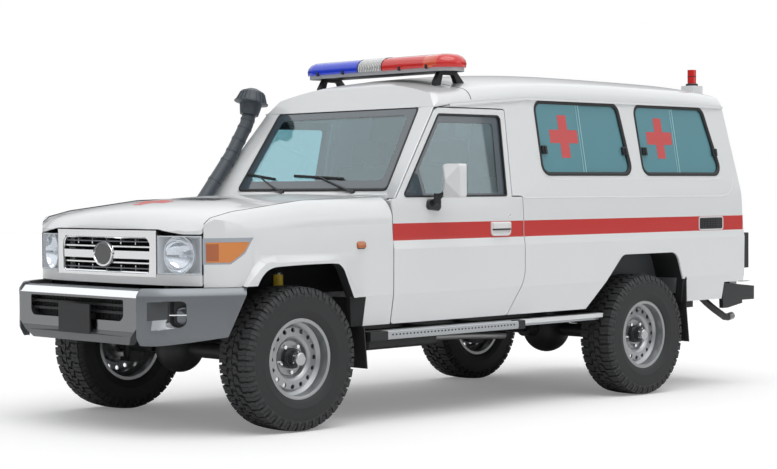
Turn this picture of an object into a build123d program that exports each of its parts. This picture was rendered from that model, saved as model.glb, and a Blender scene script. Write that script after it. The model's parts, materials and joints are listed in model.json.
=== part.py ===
"""High-roof 4x4 ambulance on a ladder frame, as separate named pieces, in millimetres.

The pieces are drawn in a level body frame: X forward from the front axle, Y to the vehicle's left, Z up
from the ground. The sprung pieces (frame, body, doors, bonnet, lamps) then tip nose-down by RAKE about the
front axle line, as the unladen vehicle stands, and everything moves along X so that the origin is at the
middle of the overall box, on the ground. The axles, knuckles and wheels stay level.
"""
from build123d import *
import os
from math import atan2, cos, degrees, radians, sin, tan

os.makedirs("parts", exist_ok=True)

# ---------------------------------------------------------------- driving dimensions
WHEELBASE = 2980.0
TRACK_FRONT = 1515.0
TRACK_REAR = 1460.0
TYRE_RADIUS = 388.0
TYRE_WIDTH = 246.0
RIM_RADIUS = 203.0          # bead seat
RIM_FLANGE = 13.0           # height of the flange over the bead seat
RIM_WIDTH = 190.0
RAKE = 0.86                 # degrees, nose down
GAP = 7.0                   # shut line of a panel that opens
FIT = 0.3                   # clearance of a piece seated in another
SKIN = 50.0                 # side wall, inner and outer skin together
DOOR = 70.0                 # front door below the belt
FRAME_DEPTH = 42.0          # door's window frame
GLASS = 5.0
GLASS_INSET = 12.0          # glass behind the outer skin

# side profile of the body, outer skin: (height, half width), from the sill to above the gutter
SIDE = [(505, 812), (700, 848), (952, 852), (1000, 842), (1098, 842), (1232, 837), (1900, 719)]
BELT_Z = 1238.0
SILL_Z = 535.0              # lower edge of doors and side panels
FLOOR_Z = 650.0             # top of the floor
FLOOR_DEPTH = 60.0
REAR_OVERHANG = 1085.0                   # rear axle to the rear skin
REAR_AXLE_X = -WHEELBASE
BODY_REAR_X = REAR_AXLE_X - REAR_OVERHANG

# side view, X from the front axle
DOOR_FRONT_X = -716.0
DOOR_REAR_X = -1812.0
ROOF_SEAM_X = -1462.0
# the opening of the front door: (x, z, corner radius), clockwise from the front lower corner
DOOR_OUTLINE = [(DOOR_FRONT_X, SILL_Z, 20), (DOOR_FRONT_X, 1232, 3), (-748, BELT_Z, 3), (-1160, 1758, 60),
                (-1745, 1758, 12), (-1712, BELT_Z, 3), (-1806, BELT_Z, 12), (DOOR_REAR_X, 760, 200),
                (-1680, SILL_Z, 30)]
DOOR_WINDOW = [(-806, 1246, 12), (-1176, 1720, 30), (-1698, 1720, 24), (-1668, 1246, 12)]
# side windows (from the rear axle, z)
SIDE_WINDOWS = {"front": [(954, 1373), (954, 1819), (154, 1819), (88, 1373)],
                "rear": [(-30, 1373), (-18, 1819), (-750, 1819), (-876, 1373)]}
WINDOW_CORNER = 62.0
# the gutter, where the roof meets the side: (x, z) from the windscreen back
GUTTER = [(-1150, 1764), (-1273, 1782), (-1948, 1838), (BODY_REAR_X + 80, 1838)]
REAR_SLOPE = [(BODY_REAR_X, SILL_Z), (BODY_REAR_X, 1000), (BODY_REAR_X + 9, 1100), (BODY_REAR_X + 17, 1284),
              (BODY_REAR_X + 96, 1838)]
FRONT_ARCH = [(640, 470, 1), (640, 786, 1), (374, 786, 25), (235, 893, 90), (-290, 893, 90),
              (-380, 700, 60), (-425, 470, 1)]
# rear arch (from the rear axle, z, corner radius)
REAR_ARCH_LINE = [(630, 470, 1), (232, 865, 70), (-330, 865, 80), (-396, 690, 60), (-420, 470, 1)]
REAR_ARCH = [(REAR_AXLE_X + x, z, radius) for x, z, radius in REAR_ARCH_LINE]

# windscreen: lower and upper corners of the glass in the middle plane, and its half widths
SCREEN_LOW = (-848.0, 1285.0)
SCREEN_HIGH = (-1159.0, 1762.0)
SCREEN_HALF = (660.0, 614.0)
SCREEN_THICK = 6.0

# rear doors
REAR_SPLIT_Y = 150.0        # narrow door to the left of it
REAR_DOOR_TOP = 1772.0
REAR_DOOR_LOW = 668.0
REAR_DOOR_DEPTH = 56.0
SPARE_CENTRE = (-300.0, 1062.0)
SPARE_FACE_GAP = 66.0       # door skin to the tyre's inner side wall


# ---------------------------------------------------------------- helpers
def outline(points):
    """Face in the XY plane from (a, b) or (a, b, radius) points, its corners rounded by their radius."""
    face = make_face(Polyline(*[(p[0], p[1]) for p in points], close=True))
    for p in points:
        radius = p[2] if len(p) > 2 else 0
        if radius:
            corner = face.vertices().sort_by_distance((p[0], p[1], 0))[0]
            face = fillet(corner, radius)
    return face


def along_y(points, y_from, y_to):
    """Side-view outline (x, z) as a prism between two Y values."""
    return extrude(Plane.XZ.offset(-y_to) * outline(points), y_to - y_from)


def along_x(points, x_from, x_to):
    """Front-view outline (y, z) as a prism between two X values."""
    return extrude(Plane.YZ.offset(x_from) * outline(points), x_to - x_from)


def block(x, y, z):
    """Box between two values on each axis."""
    size = [abs(v[1] - v[0]) for v in (x, y, z)]
    return Pos((x[0] + x[1]) / 2, (y[0] + y[1]) / 2, (z[0] + z[1]) / 2) * Box(*size)


def rod(start, end, radius):
    """Round bar between two points."""
    a, b = Vector(start), Vector(end)
    return extrude(Plane(origin=a, z_dir=b - a) * Circle(radius), (b - a).length)


def mirrored(shape):
    return mirror(shape, Plane.XZ)


def fused(shapes):
    total = shapes[0]
    for shape in shapes[1:]:
        total = total + shape
    return total


def skin_half_width(z):
    """Half width of the body's outer skin at a height."""
    for (z0, y0), (z1, y1) in zip(SIDE, SIDE[1:]):
        if z <= z1:
            return y0 + (y1 - y0) * (z - z0) / (z1 - z0)
    return SIDE[-1][1]


def side_band(depth_from, depth_to, x_from, x_to):
    """Left side wall between two depths behind the outer skin."""
    outer = [(y - depth_from, z) for z, y in SIDE]
    inner = [(y - depth_to, z) for z, y in reversed(SIDE)]
    return along_x(outer + inner, x_from, x_to)


def rear_x(z):
    """X of the body's rear face at a height."""
    for (x0, z0), (x1, z1) in zip(REAR_SLOPE, REAR_SLOPE[1:]):
        if z <= z1:
            return x0 + (x1 - x0) * (z - z0) / (z1 - z0)
    return REAR_SLOPE[-1][0]


def gutter_z(x):
    for (x0, z0), (x1, z1) in zip(GUTTER, GUTTER[1:]):
        if x >= x1:
            return z0 + (z1 - z0) * (x - x0) / (x1 - x0)
    return GUTTER[-1][1]


def world(x, z):
    """Where a point of the level body frame stands after the rake: (x, z)."""
    a = radians(RAKE)
    return x * cos(a) + z * sin(a), z * cos(a) - x * sin(a)


def body_point(x, z):
    """The point of the body frame that stands at a level place: the inverse of world()."""
    a = radians(RAKE)
    return x * cos(a) - z * sin(a), z * cos(a) + x * sin(a)


REAR_END_X = BODY_REAR_X - 35.0          # behind the whole body, for cuts that run through
FRONT_END_X = 900.0                      # ahead of the whole body
SIDE_Y = (500.0, 1000.0)                 # holds the whole left side wall
nodes = {}                  # name: (shape, rides on the sprung body)


def sprung(name, shape):
    nodes[name] = (shape, True)


def unsprung(name, shape):
    nodes[name] = (shape, False)


# ---------------------------------------------------------------- wheels
RIM_HOLES = 16
RIM_HOLE_RADIUS = 12.5
RIM_HOLE_CIRCLE = 152.0
RIM_OUTSET = 36.0           # the disc's face outside the wheel's middle plane
STUDS = 5
STUD_CIRCLE = 75.0
HUB_RADIUS = 48.0
LUG_COUNT = 22              # a side
LUG_DEPTH = 11.0
LUG_SHARE = 0.5             # of the facet under it


def tyre_ring(radius, y):
    """Many-sided face round the Y axis at a place along it, its flats at a radius."""
    return Plane.XZ.offset(-y) * RegularPolygon(radius, LUG_COUNT, major_radius=False)


def tyre_shape():
    """Tyre about the Y axis: a faceted carcass, with a lug for each shoulder on every facet."""
    half = TYRE_WIDTH / 2
    rim_half = RIM_WIDTH / 2
    base = TYRE_RADIUS - LUG_DEPTH
    tread_half = half - 22
    # (radius, distance from the middle plane), from the bead to the tread
    profile = [(RIM_RADIUS + 5, rim_half - 12), (RIM_RADIUS + 48, half - 6), (base - 32, half),
               (base, tread_half)]
    rings = [tyre_ring(r, -y) for r, y in profile] + [tyre_ring(r, y) for r, y in reversed(profile)]
    carcass = loft(rings, ruled=True)
    bore = loft([tyre_ring(RIM_RADIUS + FIT, y) for y in (-half - 1, half + 1)], ruled=True)
    pitch = 360 / LUG_COUNT
    facet = 2 * base * tan(radians(pitch / 2))
    length = facet * LUG_SHARE
    top = (TYRE_RADIUS ** 2 - (facet / 2) ** 2) ** 0.5
    lugs = []
    for side in (1, -1):
        shift = side * (facet - length - 2) / 2
        across = sorted((side * 20, side * (tread_half - 2)))
        lug = block((shift - length / 2, shift + length / 2), across, (base - 6, top))
        lugs += [Rot(0, (i + 0.5) * pitch, 0) * lug for i in range(LUG_COUNT)]
    return (carcass - bore).fuse(*lugs)


def rim_shape():
    """Pressed steel wheel about the Y axis, outer face towards +Y, with its nuts and hub."""
    half = RIM_WIDTH / 2
    flange = RIM_RADIUS + RIM_FLANGE
    wall = 5.0
    barrel = [(RIM_RADIUS, -half), (RIM_RADIUS, -28), (RIM_RADIUS - 24, -14), (RIM_RADIUS - 24, 20),
              (RIM_RADIUS, 36), (RIM_RADIUS, half), (flange, half), (flange, half + wall),
              (RIM_RADIUS - wall, half + wall), (RIM_RADIUS - wall, 40), (RIM_RADIUS - 24 - wall, 24),
              (RIM_RADIUS - 24 - wall, -18), (RIM_RADIUS - wall, -32), (RIM_RADIUS - wall, -half - wall),
              (flange, -half - wall), (flange, -half)]
    y = RIM_OUTSET
    disc = [(0, y - 26), (92, y - 26), (104, y - 2), (120, y + 8), (166, y + 2), (176, y - 14),
            (176, y - 22), (162, y - 8), (122, y - 2), (112, y - 8), (98, y - 36), (0, y - 36)]
    rim = revolve(outline(barrel), Axis.Y) + revolve(outline(disc), Axis.Y)
    holes = [Rot(0, i * 360 / RIM_HOLES, 0) * Pos(0, y, RIM_HOLE_CIRCLE)
             * Rot(90, 0, 0) * Cylinder(RIM_HOLE_RADIUS, 60) for i in range(RIM_HOLES)]
    rim = rim.cut(*holes)
    hub = [(0, y - 60), (HUB_RADIUS + 8, y - 60), (HUB_RADIUS + 8, y + 2), (HUB_RADIUS, y + 12),
           (HUB_RADIUS - 6, y + 44), (34, y + 48), (34, y + 66), (28, y + 72), (0, y + 72)]
    rim = rim + revolve(outline(hub), Axis.Y)
    nuts = [Rot(0, (i + 0.5) * 360 / STUDS, 0) * Pos(0, y - 26, STUD_CIRCLE) * Rot(-90, 0, 0)
            * extrude(RegularPolygon(11, 6), 24) for i in range(STUDS)]
    return rim.fuse(*nuts)


TYRE = tyre_shape()
RIM = rim_shape()
HUB_INBOARD = 60.0 - RIM_OUTSET      # the hub's inner face, inboard of the wheel's middle plane

# corner: (x, y, side)
WHEELS = {"front_left": (0.0, TRACK_FRONT / 2, 1), "front_right": (0.0, -TRACK_FRONT / 2, -1),
          "rear_left": (REAR_AXLE_X, TRACK_REAR / 2, 1), "rear_right": (REAR_AXLE_X, -TRACK_REAR / 2, -1)}
for corner, (x, y, side) in WHEELS.items():
    turn = Rot(0, 0, 0) if side > 0 else Rot(0, 0, 180)
    place = Pos(x, y, TYRE_RADIUS) * turn
    unsprung(f"tyre_{corner}", place * TYRE)
    unsprung(f"rim_{corner}", place * RIM)

# ---------------------------------------------------------------- axles and knuckles
KINGPIN_Y = TRACK_FRONT / 2 - 92.0
AXLE_TUBE = 44.0
DIFF_FRONT_Y = -180.0
REAR_TYRE_INNER = (TRACK_REAR - TYRE_WIDTH) / 2
LEAF_WIDTH = 70.0
LEAF_Y = REAR_TYRE_INNER - 72.0 - LEAF_WIDTH / 2
RAIL_OUT = LEAF_Y - LEAF_WIDTH / 2 - 53.0
RAIL_WIDTH = 66.0
COIL_X, COIL_Y = -30.0, RAIL_OUT + 64.0
COIL_RADIUS = 60.0
TOWER_Z = 640.0             # seat of the front coil on the frame, body frame
RAIL_MID_Y = RAIL_OUT - RAIL_WIDTH / 2
ARM_END_X = -740.0
EAR_Z = 78.0


def front_axle_shape():
    z = TYRE_RADIUS
    inner = KINGPIN_Y - 62
    tube = rod((0, -inner, z), (0, inner, z), AXLE_TUBE)
    diff = Pos(0, DIFF_FRONT_Y, z) * Sphere(138)
    neck = rod((0, DIFF_FRONT_Y, z), (-190, DIFF_FRONT_Y, z + 14), 62)
    shape = tube + diff + neck
    arm_top = world(ARM_END_X, rail_bottom(ARM_END_X))[1] - 1.0
    coil_top = world(COIL_X, TOWER_Z)[1] - 1.3
    for side in (1, -1):
        fork = block((-46, 46), (side * inner - 14, side * inner + 14), (z - 102, z + 102))
        across = (side * inner, side * (KINGPIN_Y + 34))
        ears = [block((-40, 40), across, (z + s * EAR_Z, z + s * (EAR_Z + 24))) for s in (1, -1)]
        arm = along_y([(70, z - 24), (70, z + 20), (-60, z + 30), (ARM_END_X - 30, arm_top),
                       (ARM_END_X - 30, arm_top - 44), (-60, z - 40)],
                      side * RAIL_MID_Y - 25, side * RAIL_MID_Y + 25)
        seat = Pos(COIL_X, side * COIL_Y, z + 48) * Cylinder(72, 36)
        coil = rod((COIL_X, side * COIL_Y, z + 60), (COIL_X, side * COIL_Y, coil_top), COIL_RADIUS)
        shape = shape + fork + ears[0] + ears[1] + arm + seat + coil
    return shape


def knuckle_shape(side):
    """Steering knuckle between the axle's ears, with its stub and steering arm."""
    z = TYRE_RADIUS
    y = side * KINGPIN_Y
    hub_face = side * (TRACK_FRONT / 2 - HUB_INBOARD - FIT)
    barrel = Pos(0, y, z) * Cylinder(34, 2 * (EAR_Z - FIT))
    stub = rod((0, y, z), (0, hub_face, z), 42)
    arm = block((-170, -20), (y + side * 12 - 12, y + side * 12 + 12), (z - 66, z - 42))
    return barrel + stub + arm


def rear_axle_shape():
    z = TYRE_RADIUS
    face = TRACK_REAR / 2 - HUB_INBOARD - FIT
    tube = rod((-WHEELBASE, -face, z), (-WHEELBASE, face, z), AXLE_TUBE)
    diff = Pos(-WHEELBASE, 0, z) * Sphere(158)
    neck = rod((-WHEELBASE, 0, z), (-WHEELBASE + 230, 0, z + 20), 64)
    shape = tube + diff + neck
    for side in (1, -1):
        shape = shape + rod((-WHEELBASE, side * (face - 70), z), (-WHEELBASE, side * (face - 6), z), 138)
    return shape


# ---------------------------------------------------------------- ladder frame, springs, driveline
# lower and upper edge of a rail in side view: (x, z low, z high)
RAIL_LINE = [(769, 560, 690), (250, 560, 690), (80, 600, 700), (-250, 600, 700), (-640, 440, 580),
             (REAR_AXLE_X + 630, 440, 570), (REAR_AXLE_X + 420, 468, 588), (REAR_AXLE_X - 320, 468, 588),
             (REAR_AXLE_X - 580, 450, 580), (BODY_REAR_X - 9, 450, 580)]
CROSS_X = [520.0, -1720.0, REAR_AXLE_X + 680, REAR_AXLE_X - 440, BODY_REAR_X + 45]
LEAF_ENDS = (REAR_AXLE_X + 580, REAR_AXLE_X - 580)
FLOOR_UNDER = FLOOR_Z - FLOOR_DEPTH


def rail_bottom(x):
    for (x0, z0, _), (x1, z1, _) in zip(RAIL_LINE, RAIL_LINE[1:]):
        if x >= x1:
            return z0 + (z1 - z0) * (x - x0) / (x1 - x0)
    return RAIL_LINE[-1][1]


def rail_top(x):
    for (x0, _, z0), (x1, _, z1) in zip(RAIL_LINE, RAIL_LINE[1:]):
        if x >= x1:
            return z0 + (z1 - z0) * (x - x0) / (x1 - x0)
    return RAIL_LINE[-1][2]


def frame_shape():
    points = [(x, low) for x, low, _ in RAIL_LINE] + [(x, high) for x, _, high in reversed(RAIL_LINE)]
    shape = along_y(points, RAIL_OUT - RAIL_WIDTH, RAIL_OUT)
    shape = shape + mirrored(shape)
    for x in CROSS_X:
        top = rail_top(x)
        shape = shape + block((x - 32, x + 32), (-RAIL_OUT + 4, RAIL_OUT - 4), (top - 60, top - 4))
    for side in (1, -1):
        tower = block((COIL_X - 74, COIL_X + 74), (side * (RAIL_OUT - 20), side * (COIL_Y + 74)),
                      (TOWER_Z, TOWER_Z + 22))
        shape = shape + tower
        for end in LEAF_ENDS:
            z_eye = rail_bottom(end) + 10
            shape = shape + block((end - 30, end + 30), (side * (RAIL_OUT - 10), side * (LEAF_Y + 36)),
                                  (z_eye + 30, z_eye + 74))
    return shape


def leaf_shape(side):
    """Pack of leaves over the axle tube, from hanger to shackle."""
    x_mid, z_mid = body_point(-WHEELBASE, TYRE_RADIUS + AXLE_TUBE + 1.0)
    eyes = [(x, rail_bottom(x) + 10) for x in LEAF_ENDS]
    points = [(eyes[0][0] + 28, eyes[0][1]), (eyes[0][0] + 28, eyes[0][1] + 29.7),
              (eyes[0][0] - 28, eyes[0][1] + 29.7), (x_mid + 120, z_mid + 62), (x_mid - 120, z_mid + 62),
              (eyes[1][0] + 28, eyes[1][1] + 29.7), (eyes[1][0] - 28, eyes[1][1] + 29.7),
              (eyes[1][0] - 28, eyes[1][1]), (x_mid - 60, z_mid), (x_mid + 60, z_mid)]
    return along_y(points, side * LEAF_Y - LEAF_WIDTH / 2, side * LEAF_Y + LEAF_WIDTH / 2)


def driveline_shape():
    engine = block((-610, 90), (-195, 195), (585, 1060))
    bell = block((-1290, -600), (-120, 120), (400, 584)) + block((-700, -600), (-150, 150), (470, 700))
    mounts = block((-140, -80), (-RAIL_OUT + RAIL_WIDTH, RAIL_OUT - RAIL_WIDTH), (610, 680))
    transfer = block((-1560, -1280), (-230, 130), (400, 580))
    rear_neck = body_point(-WHEELBASE + 232, TYRE_RADIUS + 20)
    front_neck = body_point(-191, TYRE_RADIUS + 14)
    rear_shaft = rod((-1550, 0, 455), (rear_neck[0], 0, rear_neck[1]), 36)
    front_shaft = rod((-1290, DIFF_FRONT_Y, 440), (front_neck[0], DIFF_FRONT_Y, front_neck[1]), 30)
    return engine + bell + mounts + transfer + rear_shaft + front_shaft


unsprung("front_axle", front_axle_shape())
unsprung("knuckle_left", knuckle_shape(1))
unsprung("knuckle_right", knuckle_shape(-1))
unsprung("rear_axle", rear_axle_shape())
sprung("ladder_frame", frame_shape())
sprung("leaf_springs", Compound([leaf_shape(1), leaf_shape(-1)]))
sprung("driveline", driveline_shape())
TANK_HALF = RAIL_OUT - RAIL_WIDTH - FIT
sprung("fuel_tank", block((REAR_AXLE_X - 980, REAR_AXLE_X - 490), (-TANK_HALF, TANK_HALF), (412, 519)))

# plan of an A-pillar (x, y) at its foot and its head
PILLAR_FOOT_Z, PILLAR_HEAD_Z = BELT_Z, 1763.0
PILLAR_FOOT = [(-816, 662), (-733, 832), (-740, 835), (-786, 762), (-868, 662)]
PILLAR_HEAD = [(-1152, 616), (-1146, 735), (-1152, 739), (-1190, 680), (-1208, 616)]


def pillar_solid(grow):
    """Left A-pillar, tapering from foot to head, grown all round in plan."""
    ends = []
    for z, points in ((PILLAR_FOOT_Z, PILLAR_FOOT), (PILLAR_HEAD_Z, PILLAR_HEAD)):
        face = outline(points)
        face = offset(face, grow, kind=Kind.INTERSECTION) if grow else face
        ends.append(Plane.XY.offset(z) * face)
    return loft(ends, ruled=True)


# ---------------------------------------------------------------- body sides
REAR_POST = 96.0            # width of the post beside the rear doors, seen from behind
BUMPER_CORNER_X = BODY_REAR_X + 219.0   # the side panel stops above the rear bumper behind this
BUMPER_CORNER_Z = 648.0
LIP = 12.0                  # the gutter stands out by this
SEAM_FLANGE = DOOR + 7.0    # face of the flange behind the door, from the outer skin
SEAM_THICK = 24.0


def shut(points, by):
    """Face of an outline with rounded corners, grown by a distance."""
    return offset(outline(points), by)


def face_along_y(face, y_from, y_to):
    return extrude(Plane.XZ.offset(-y_to) * face, y_to - y_from)


def window_outline(corners):
    return [(REAR_AXLE_X + x, z, WINDOW_CORNER) for x, z in corners]


def side_panel_shape():
    region = [(-1160, gutter_z(-1160))] + GUTTER[1:3] + list(reversed(REAR_SLOPE)) + [(-1660, SILL_Z)]
    wall = side_band(0, SKIN, REAR_END_X, DOOR_FRONT_X) & along_y(region, *SIDE_Y)
    behind_door = (DOOR_REAR_X - 88, DOOR_REAR_X + 112)
    flange = side_band(SKIN - 5, SEAM_FLANGE + SEAM_THICK, DOOR_REAR_X - 38, DOOR_REAR_X - GAP - 14) & \
        block(behind_door, SIDE_Y, (FLOOR_Z + 5, BELT_Z - 13))
    stop = side_band(SEAM_FLANGE, SEAM_FLANGE + SEAM_THICK, DOOR_REAR_X - 28, DOOR_REAR_X + 34) & \
        block(behind_door, SIDE_Y, (FLOOR_Z + 60, BELT_Z - 23))
    pad = side_band(DOOR + FIT, SEAM_FLANGE + 1, DOOR_REAR_X + 14, DOOR_REAR_X + 30) & \
        block(behind_door, SIDE_Y, (FLOOR_Z + 150, BELT_Z - 38))
    lip_line = GUTTER[1:3] + [(REAR_SLOPE[-1][0] + 2, GUTTER[-1][1])]
    lip_face = lip_line + [(x, z - 14) for x, z in reversed(lip_line)]
    lip = side_band(-LIP, 10, REAR_END_X, DOOR_FRONT_X) & along_y(lip_face, *SIDE_Y)
    wall = wall + lip
    wall = wall - face_along_y(shut(DOOR_OUTLINE, GAP), *SIDE_Y)
    wall = wall - along_y(REAR_ARCH, *SIDE_Y)
    wall = wall - block((REAR_END_X, BUMPER_CORNER_X), SIDE_Y, (400, BUMPER_CORNER_Z))
    for corners in SIDE_WINDOWS.values():
        wall = wall - along_y(window_outline(corners), *SIDE_Y)
    return (wall + flange + stop + pad) - pillar_solid(FIT)


def side_glass_shapes():
    panes = []
    for corners in SIDE_WINDOWS.values():
        pane = face_along_y(shut(window_outline(corners), -FIT), *SIDE_Y)
        panes.append(side_band(GLASS_INSET, GLASS_INSET + GLASS, REAR_END_X, DOOR_FRONT_X) & pane)
    return panes


DOOR_EDGE = 12.0            # the skin's own depth, past which the door steps in
DOOR_SPAN = (DOOR_REAR_X - 88, DOOR_FRONT_X + 116)


def door_shape():
    skin = side_band(0, DOOR_EDGE, *DOOR_SPAN) & along_y(DOOR_OUTLINE, *SIDE_Y)
    inner_face = face_along_y(shut(DOOR_OUTLINE, -DOOR_EDGE), *SIDE_Y)
    frame = side_band(DOOR_EDGE, FRAME_DEPTH, *DOOR_SPAN) & inner_face
    box = (side_band(FRAME_DEPTH, DOOR, *DOOR_SPAN) & inner_face) & \
        block(DOOR_SPAN, SIDE_Y, (500, BELT_Z - 4))
    shape = (skin + frame + box) - pillar_solid(GAP)
    return shape - along_y(DOOR_WINDOW, *SIDE_Y)


def door_glass_shape():
    face = shut(DOOR_WINDOW, -FIT)
    return side_band(GLASS_INSET, GLASS_INSET + GLASS, *DOOR_SPAN) & face_along_y(face, *SIDE_Y)


left_panel = side_panel_shape()
sprung("side_panel_left", left_panel)
sprung("side_panel_right", mirrored(left_panel))
panes = side_glass_shapes()
sprung("side_windows", Compound(panes + [mirrored(p) for p in panes]))
left_door, left_glass = door_shape(), door_glass_shape()
sprung("door_left", left_door)
sprung("door_right", mirrored(left_door))
sprung("door_glass_left", left_glass)
sprung("door_glass_right", mirrored(left_glass))

# ---------------------------------------------------------------- windscreen and its frame
SCREEN_RUN = (SCREEN_HIGH[0] - SCREEN_LOW[0], SCREEN_HIGH[1] - SCREEN_LOW[1])
SCREEN_LENGTH = (SCREEN_RUN[0] ** 2 + SCREEN_RUN[1] ** 2) ** 0.5
SCREEN_PLANE = Plane(origin=(SCREEN_LOW[0], 0, SCREEN_LOW[1]), x_dir=(0, 1, 0),
                     z_dir=(SCREEN_RUN[1], 0, -SCREEN_RUN[0]))


def screen_prism(grow, thick):
    low, high = SCREEN_HALF[0] + grow, SCREEN_HALF[1] + grow
    points = [(-low, -grow, 28), (low, -grow, 28), (high, SCREEN_LENGTH + grow, 34),
              (-high, SCREEN_LENGTH + grow, 34)]
    return extrude(SCREEN_PLANE * outline(points), thick / 2, both=True)


def windscreen_frame_shape():
    pillar = pillar_solid(0)
    cowl_line = [(-797, 1180), (-797, 1256), (-830, 1268), (-850, 1284), (-880, 1276), (-880, 1180)]
    cowl = along_y(cowl_line, -700, 700)
    header = along_y([(-1147, 1722), (-1173, 1763), (-1206, 1763), (-1192, 1722)], -640, 640)
    shape = pillar + mirrored(pillar) + header + cowl
    return shape - screen_prism(FIT, SCREEN_THICK + 2 * FIT)


sprung("windscreen_frame", windscreen_frame_shape())
sprung("windscreen", screen_prism(0, SCREEN_THICK))

# ---------------------------------------------------------------- roof
ROOF_THICK = 40.0
ROOF_FOOT_Z = 1700.0
CROWN_FALL = 92.0           # from the crown to where it meets the side line
ROOF_CORNER = 95.0
# (x, crown height) from the front
CROWN = [(-1140, 1912), (-1300, 1936), (-1494, 1960), (-1948, 2000), (REAR_AXLE_X + 480, 2020),
         (REAR_AXLE_X - 220, 2016), (BODY_REAR_X + 75, 1985)]
ROOF_TOP_Z = max(z for _, z in CROWN) + 80.0    # above every point of the roof


def roof_section(x, crown, inset):
    z_corner = crown - CROWN_FALL - inset
    y_corner = skin_half_width(z_corner) - inset
    y_foot = skin_half_width(ROOF_FOOT_Z) - inset
    edges = [Line((-y_foot, ROOF_FOOT_Z), (-y_corner, z_corner)),
             ThreePointArc((-y_corner, z_corner), (0, crown - inset), (y_corner, z_corner)),
             Line((y_corner, z_corner), (y_foot, ROOF_FOOT_Z)),
             Line((y_foot, ROOF_FOOT_Z), (-y_foot, ROOF_FOOT_Z))]
    face = make_face(edges)
    corners = [v for v in face.vertices() if abs(v.Y - z_corner) < 1]
    face = fillet(corners, ROOF_CORNER - inset)
    return Plane.YZ.offset(x) * face


def roof_solid(inset):
    return loft([roof_section(x, crown, inset) for x, crown in CROWN])


def above_gutter():
    rear = CROWN[-1][0] - 10
    line = [(-1100, gutter_z(-1100))] + GUTTER[1:3] + [(rear, GUTTER[-1][1])]
    return along_y(line + [(rear, ROOF_TOP_Z), (-1100, ROOF_TOP_Z)], -900, 900)


# side views of the two roof pieces (x, z, corner radius), from the seam round to the outer end
CAB_ROOF = [(ROOF_SEAM_X, 1700), (ROOF_SEAM_X, ROOF_TOP_Z), (-1400, ROOF_TOP_Z), (-1330, 1950, 120),
            (-1232, 1914, 60), (-1150, 1764), (-1148, 1700)]
REAR_ROOF = [(ROOF_SEAM_X, 1700), (ROOF_SEAM_X, ROOF_TOP_Z), (BODY_REAR_X + 215, ROOF_TOP_Z),
             (BODY_REAR_X + 113, 1965, 60), (REAR_SLOPE[-1][0], 1838), (BODY_REAR_X + 90, 1700)]
ROOF_END_WALL = 46.0        # along X, of a sloping end


def corner_cut():
    """What is taken off the roof's left front corner: nothing at the gutter, more towards the crown."""
    sections = []
    for z, depth in ((1764, 2), (1850, 46), (1930, 90)):
        lean = (z - 1764) * 0.55
        x, y = -1150 - lean, skin_half_width(z)
        reach = depth * 1.5
        corner = [(x + 60, y - reach), (x, y - reach), (x - reach, y), (x - reach, y + 60),
                  (x + 60, y + 60)]
        sections.append(Plane.XY.offset(z) * outline(corner))
    return loft(sections, ruled=True)


def roof_shapes():
    """The cab's roof and the moulded roof behind it, each open below and at the seam between them."""
    outer = roof_solid(0) & above_gutter()
    inner = roof_solid(ROOF_THICK)
    pieces = []
    for side_view, inwards in ((CAB_ROOF, -1), (REAR_ROOF, 1)):
        hollow = inner & (Pos(inwards * ROOF_END_WALL, 0, 0) * along_y(side_view, -900, 900))
        pieces.append((outer & along_y(side_view, -900, 900)) - hollow)
    corner = corner_cut()
    return pieces[0] - corner - mirrored(corner), pieces[1]


cab_roof, rear_roof = roof_shapes()
sprung("roof_cab", cab_roof)
sprung("roof_rear", rear_roof)

# ---------------------------------------------------------------- floor, firewall, rear frame
ARCH_WALL = 20.0
ARCH_INNER_Y = REAR_TYRE_INNER - 17.0
FIREWALL_X = -760.0
FIREWALL_THICK = 20.0
FIREWALL_TOP = 1190.0
REAR_FLANGE = 63.0          # face of the flange behind the rear doors, from the rear skin
REAR_FRAME_DEPTH = 82.0


def floor_shape():
    step = DOOR_REAR_X - 38     # the slab widens behind the door's flange
    front = side_band(SEAM_FLANGE + SEAM_THICK + FIT, 1800, step, FIREWALL_X - FIREWALL_THICK)
    full = side_band(SKIN, 1800, BODY_REAR_X + REAR_FRAME_DEPTH, step)
    full = full - side_band(SKIN - 1, SEAM_FLANGE + SEAM_THICK + 1, step - 3, step + 10)
    half = (0, SIDE_Y[1])
    length = (REAR_END_X, FIREWALL_X)
    slab = (front + full) & block(length, half, (FLOOR_UNDER, FLOOR_Z))
    arch = along_y(REAR_ARCH, ARCH_INNER_Y, SIDE_Y[1])
    box = face_along_y(shut(REAR_ARCH, ARCH_WALL), ARCH_INNER_Y - ARCH_WALL, SIDE_Y[1])
    box = box & side_band(SKIN, 1800, *length) & block(length, half, (FLOOR_UNDER, 1000))
    shape = (slab + box) - arch
    return shape + mirrored(shape)


def firewall_shape():
    wall = side_band(SEAM_FLANGE + 2, 1800, FIREWALL_X - FIREWALL_THICK, FIREWALL_X)
    wall = wall & block((-800, -700), (0, 1000), (FLOOR_UNDER, FIREWALL_TOP))
    post = side_band(SEAM_FLANGE, SEAM_FLANGE + 60, FIREWALL_X - FIREWALL_THICK, DOOR_FRONT_X + GAP)
    post = post & block((-900, -600), (0, 1000), (SILL_Z + 5, FIREWALL_TOP))
    pads = side_band(DOOR + FIT, SEAM_FLANGE + 1, DOOR_FRONT_X - 50, DOOR_FRONT_X - 20) & \
        block((-900, -600), (0, 1000), (700, 1180))
    shape = wall + post + pads
    shape = shape + mirrored(shape)
    return shape - block((-1500, -700), (-126, 126), (300, 600))


def rear_outline(inset, low, high, radius):
    """Outline (y, z) of the rear opening, both halves, inset from the posts' inner edges."""
    heights = [low] + [z for z, _ in SIDE if low < z < high] + [high]
    right = [(skin_half_width(z) - REAR_POST - inset, z) for z in heights]
    right[-1] = right[-1] + (radius,)
    left = [(-p[0],) + tuple(p[1:]) for p in reversed(right)]
    return right + left


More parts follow.
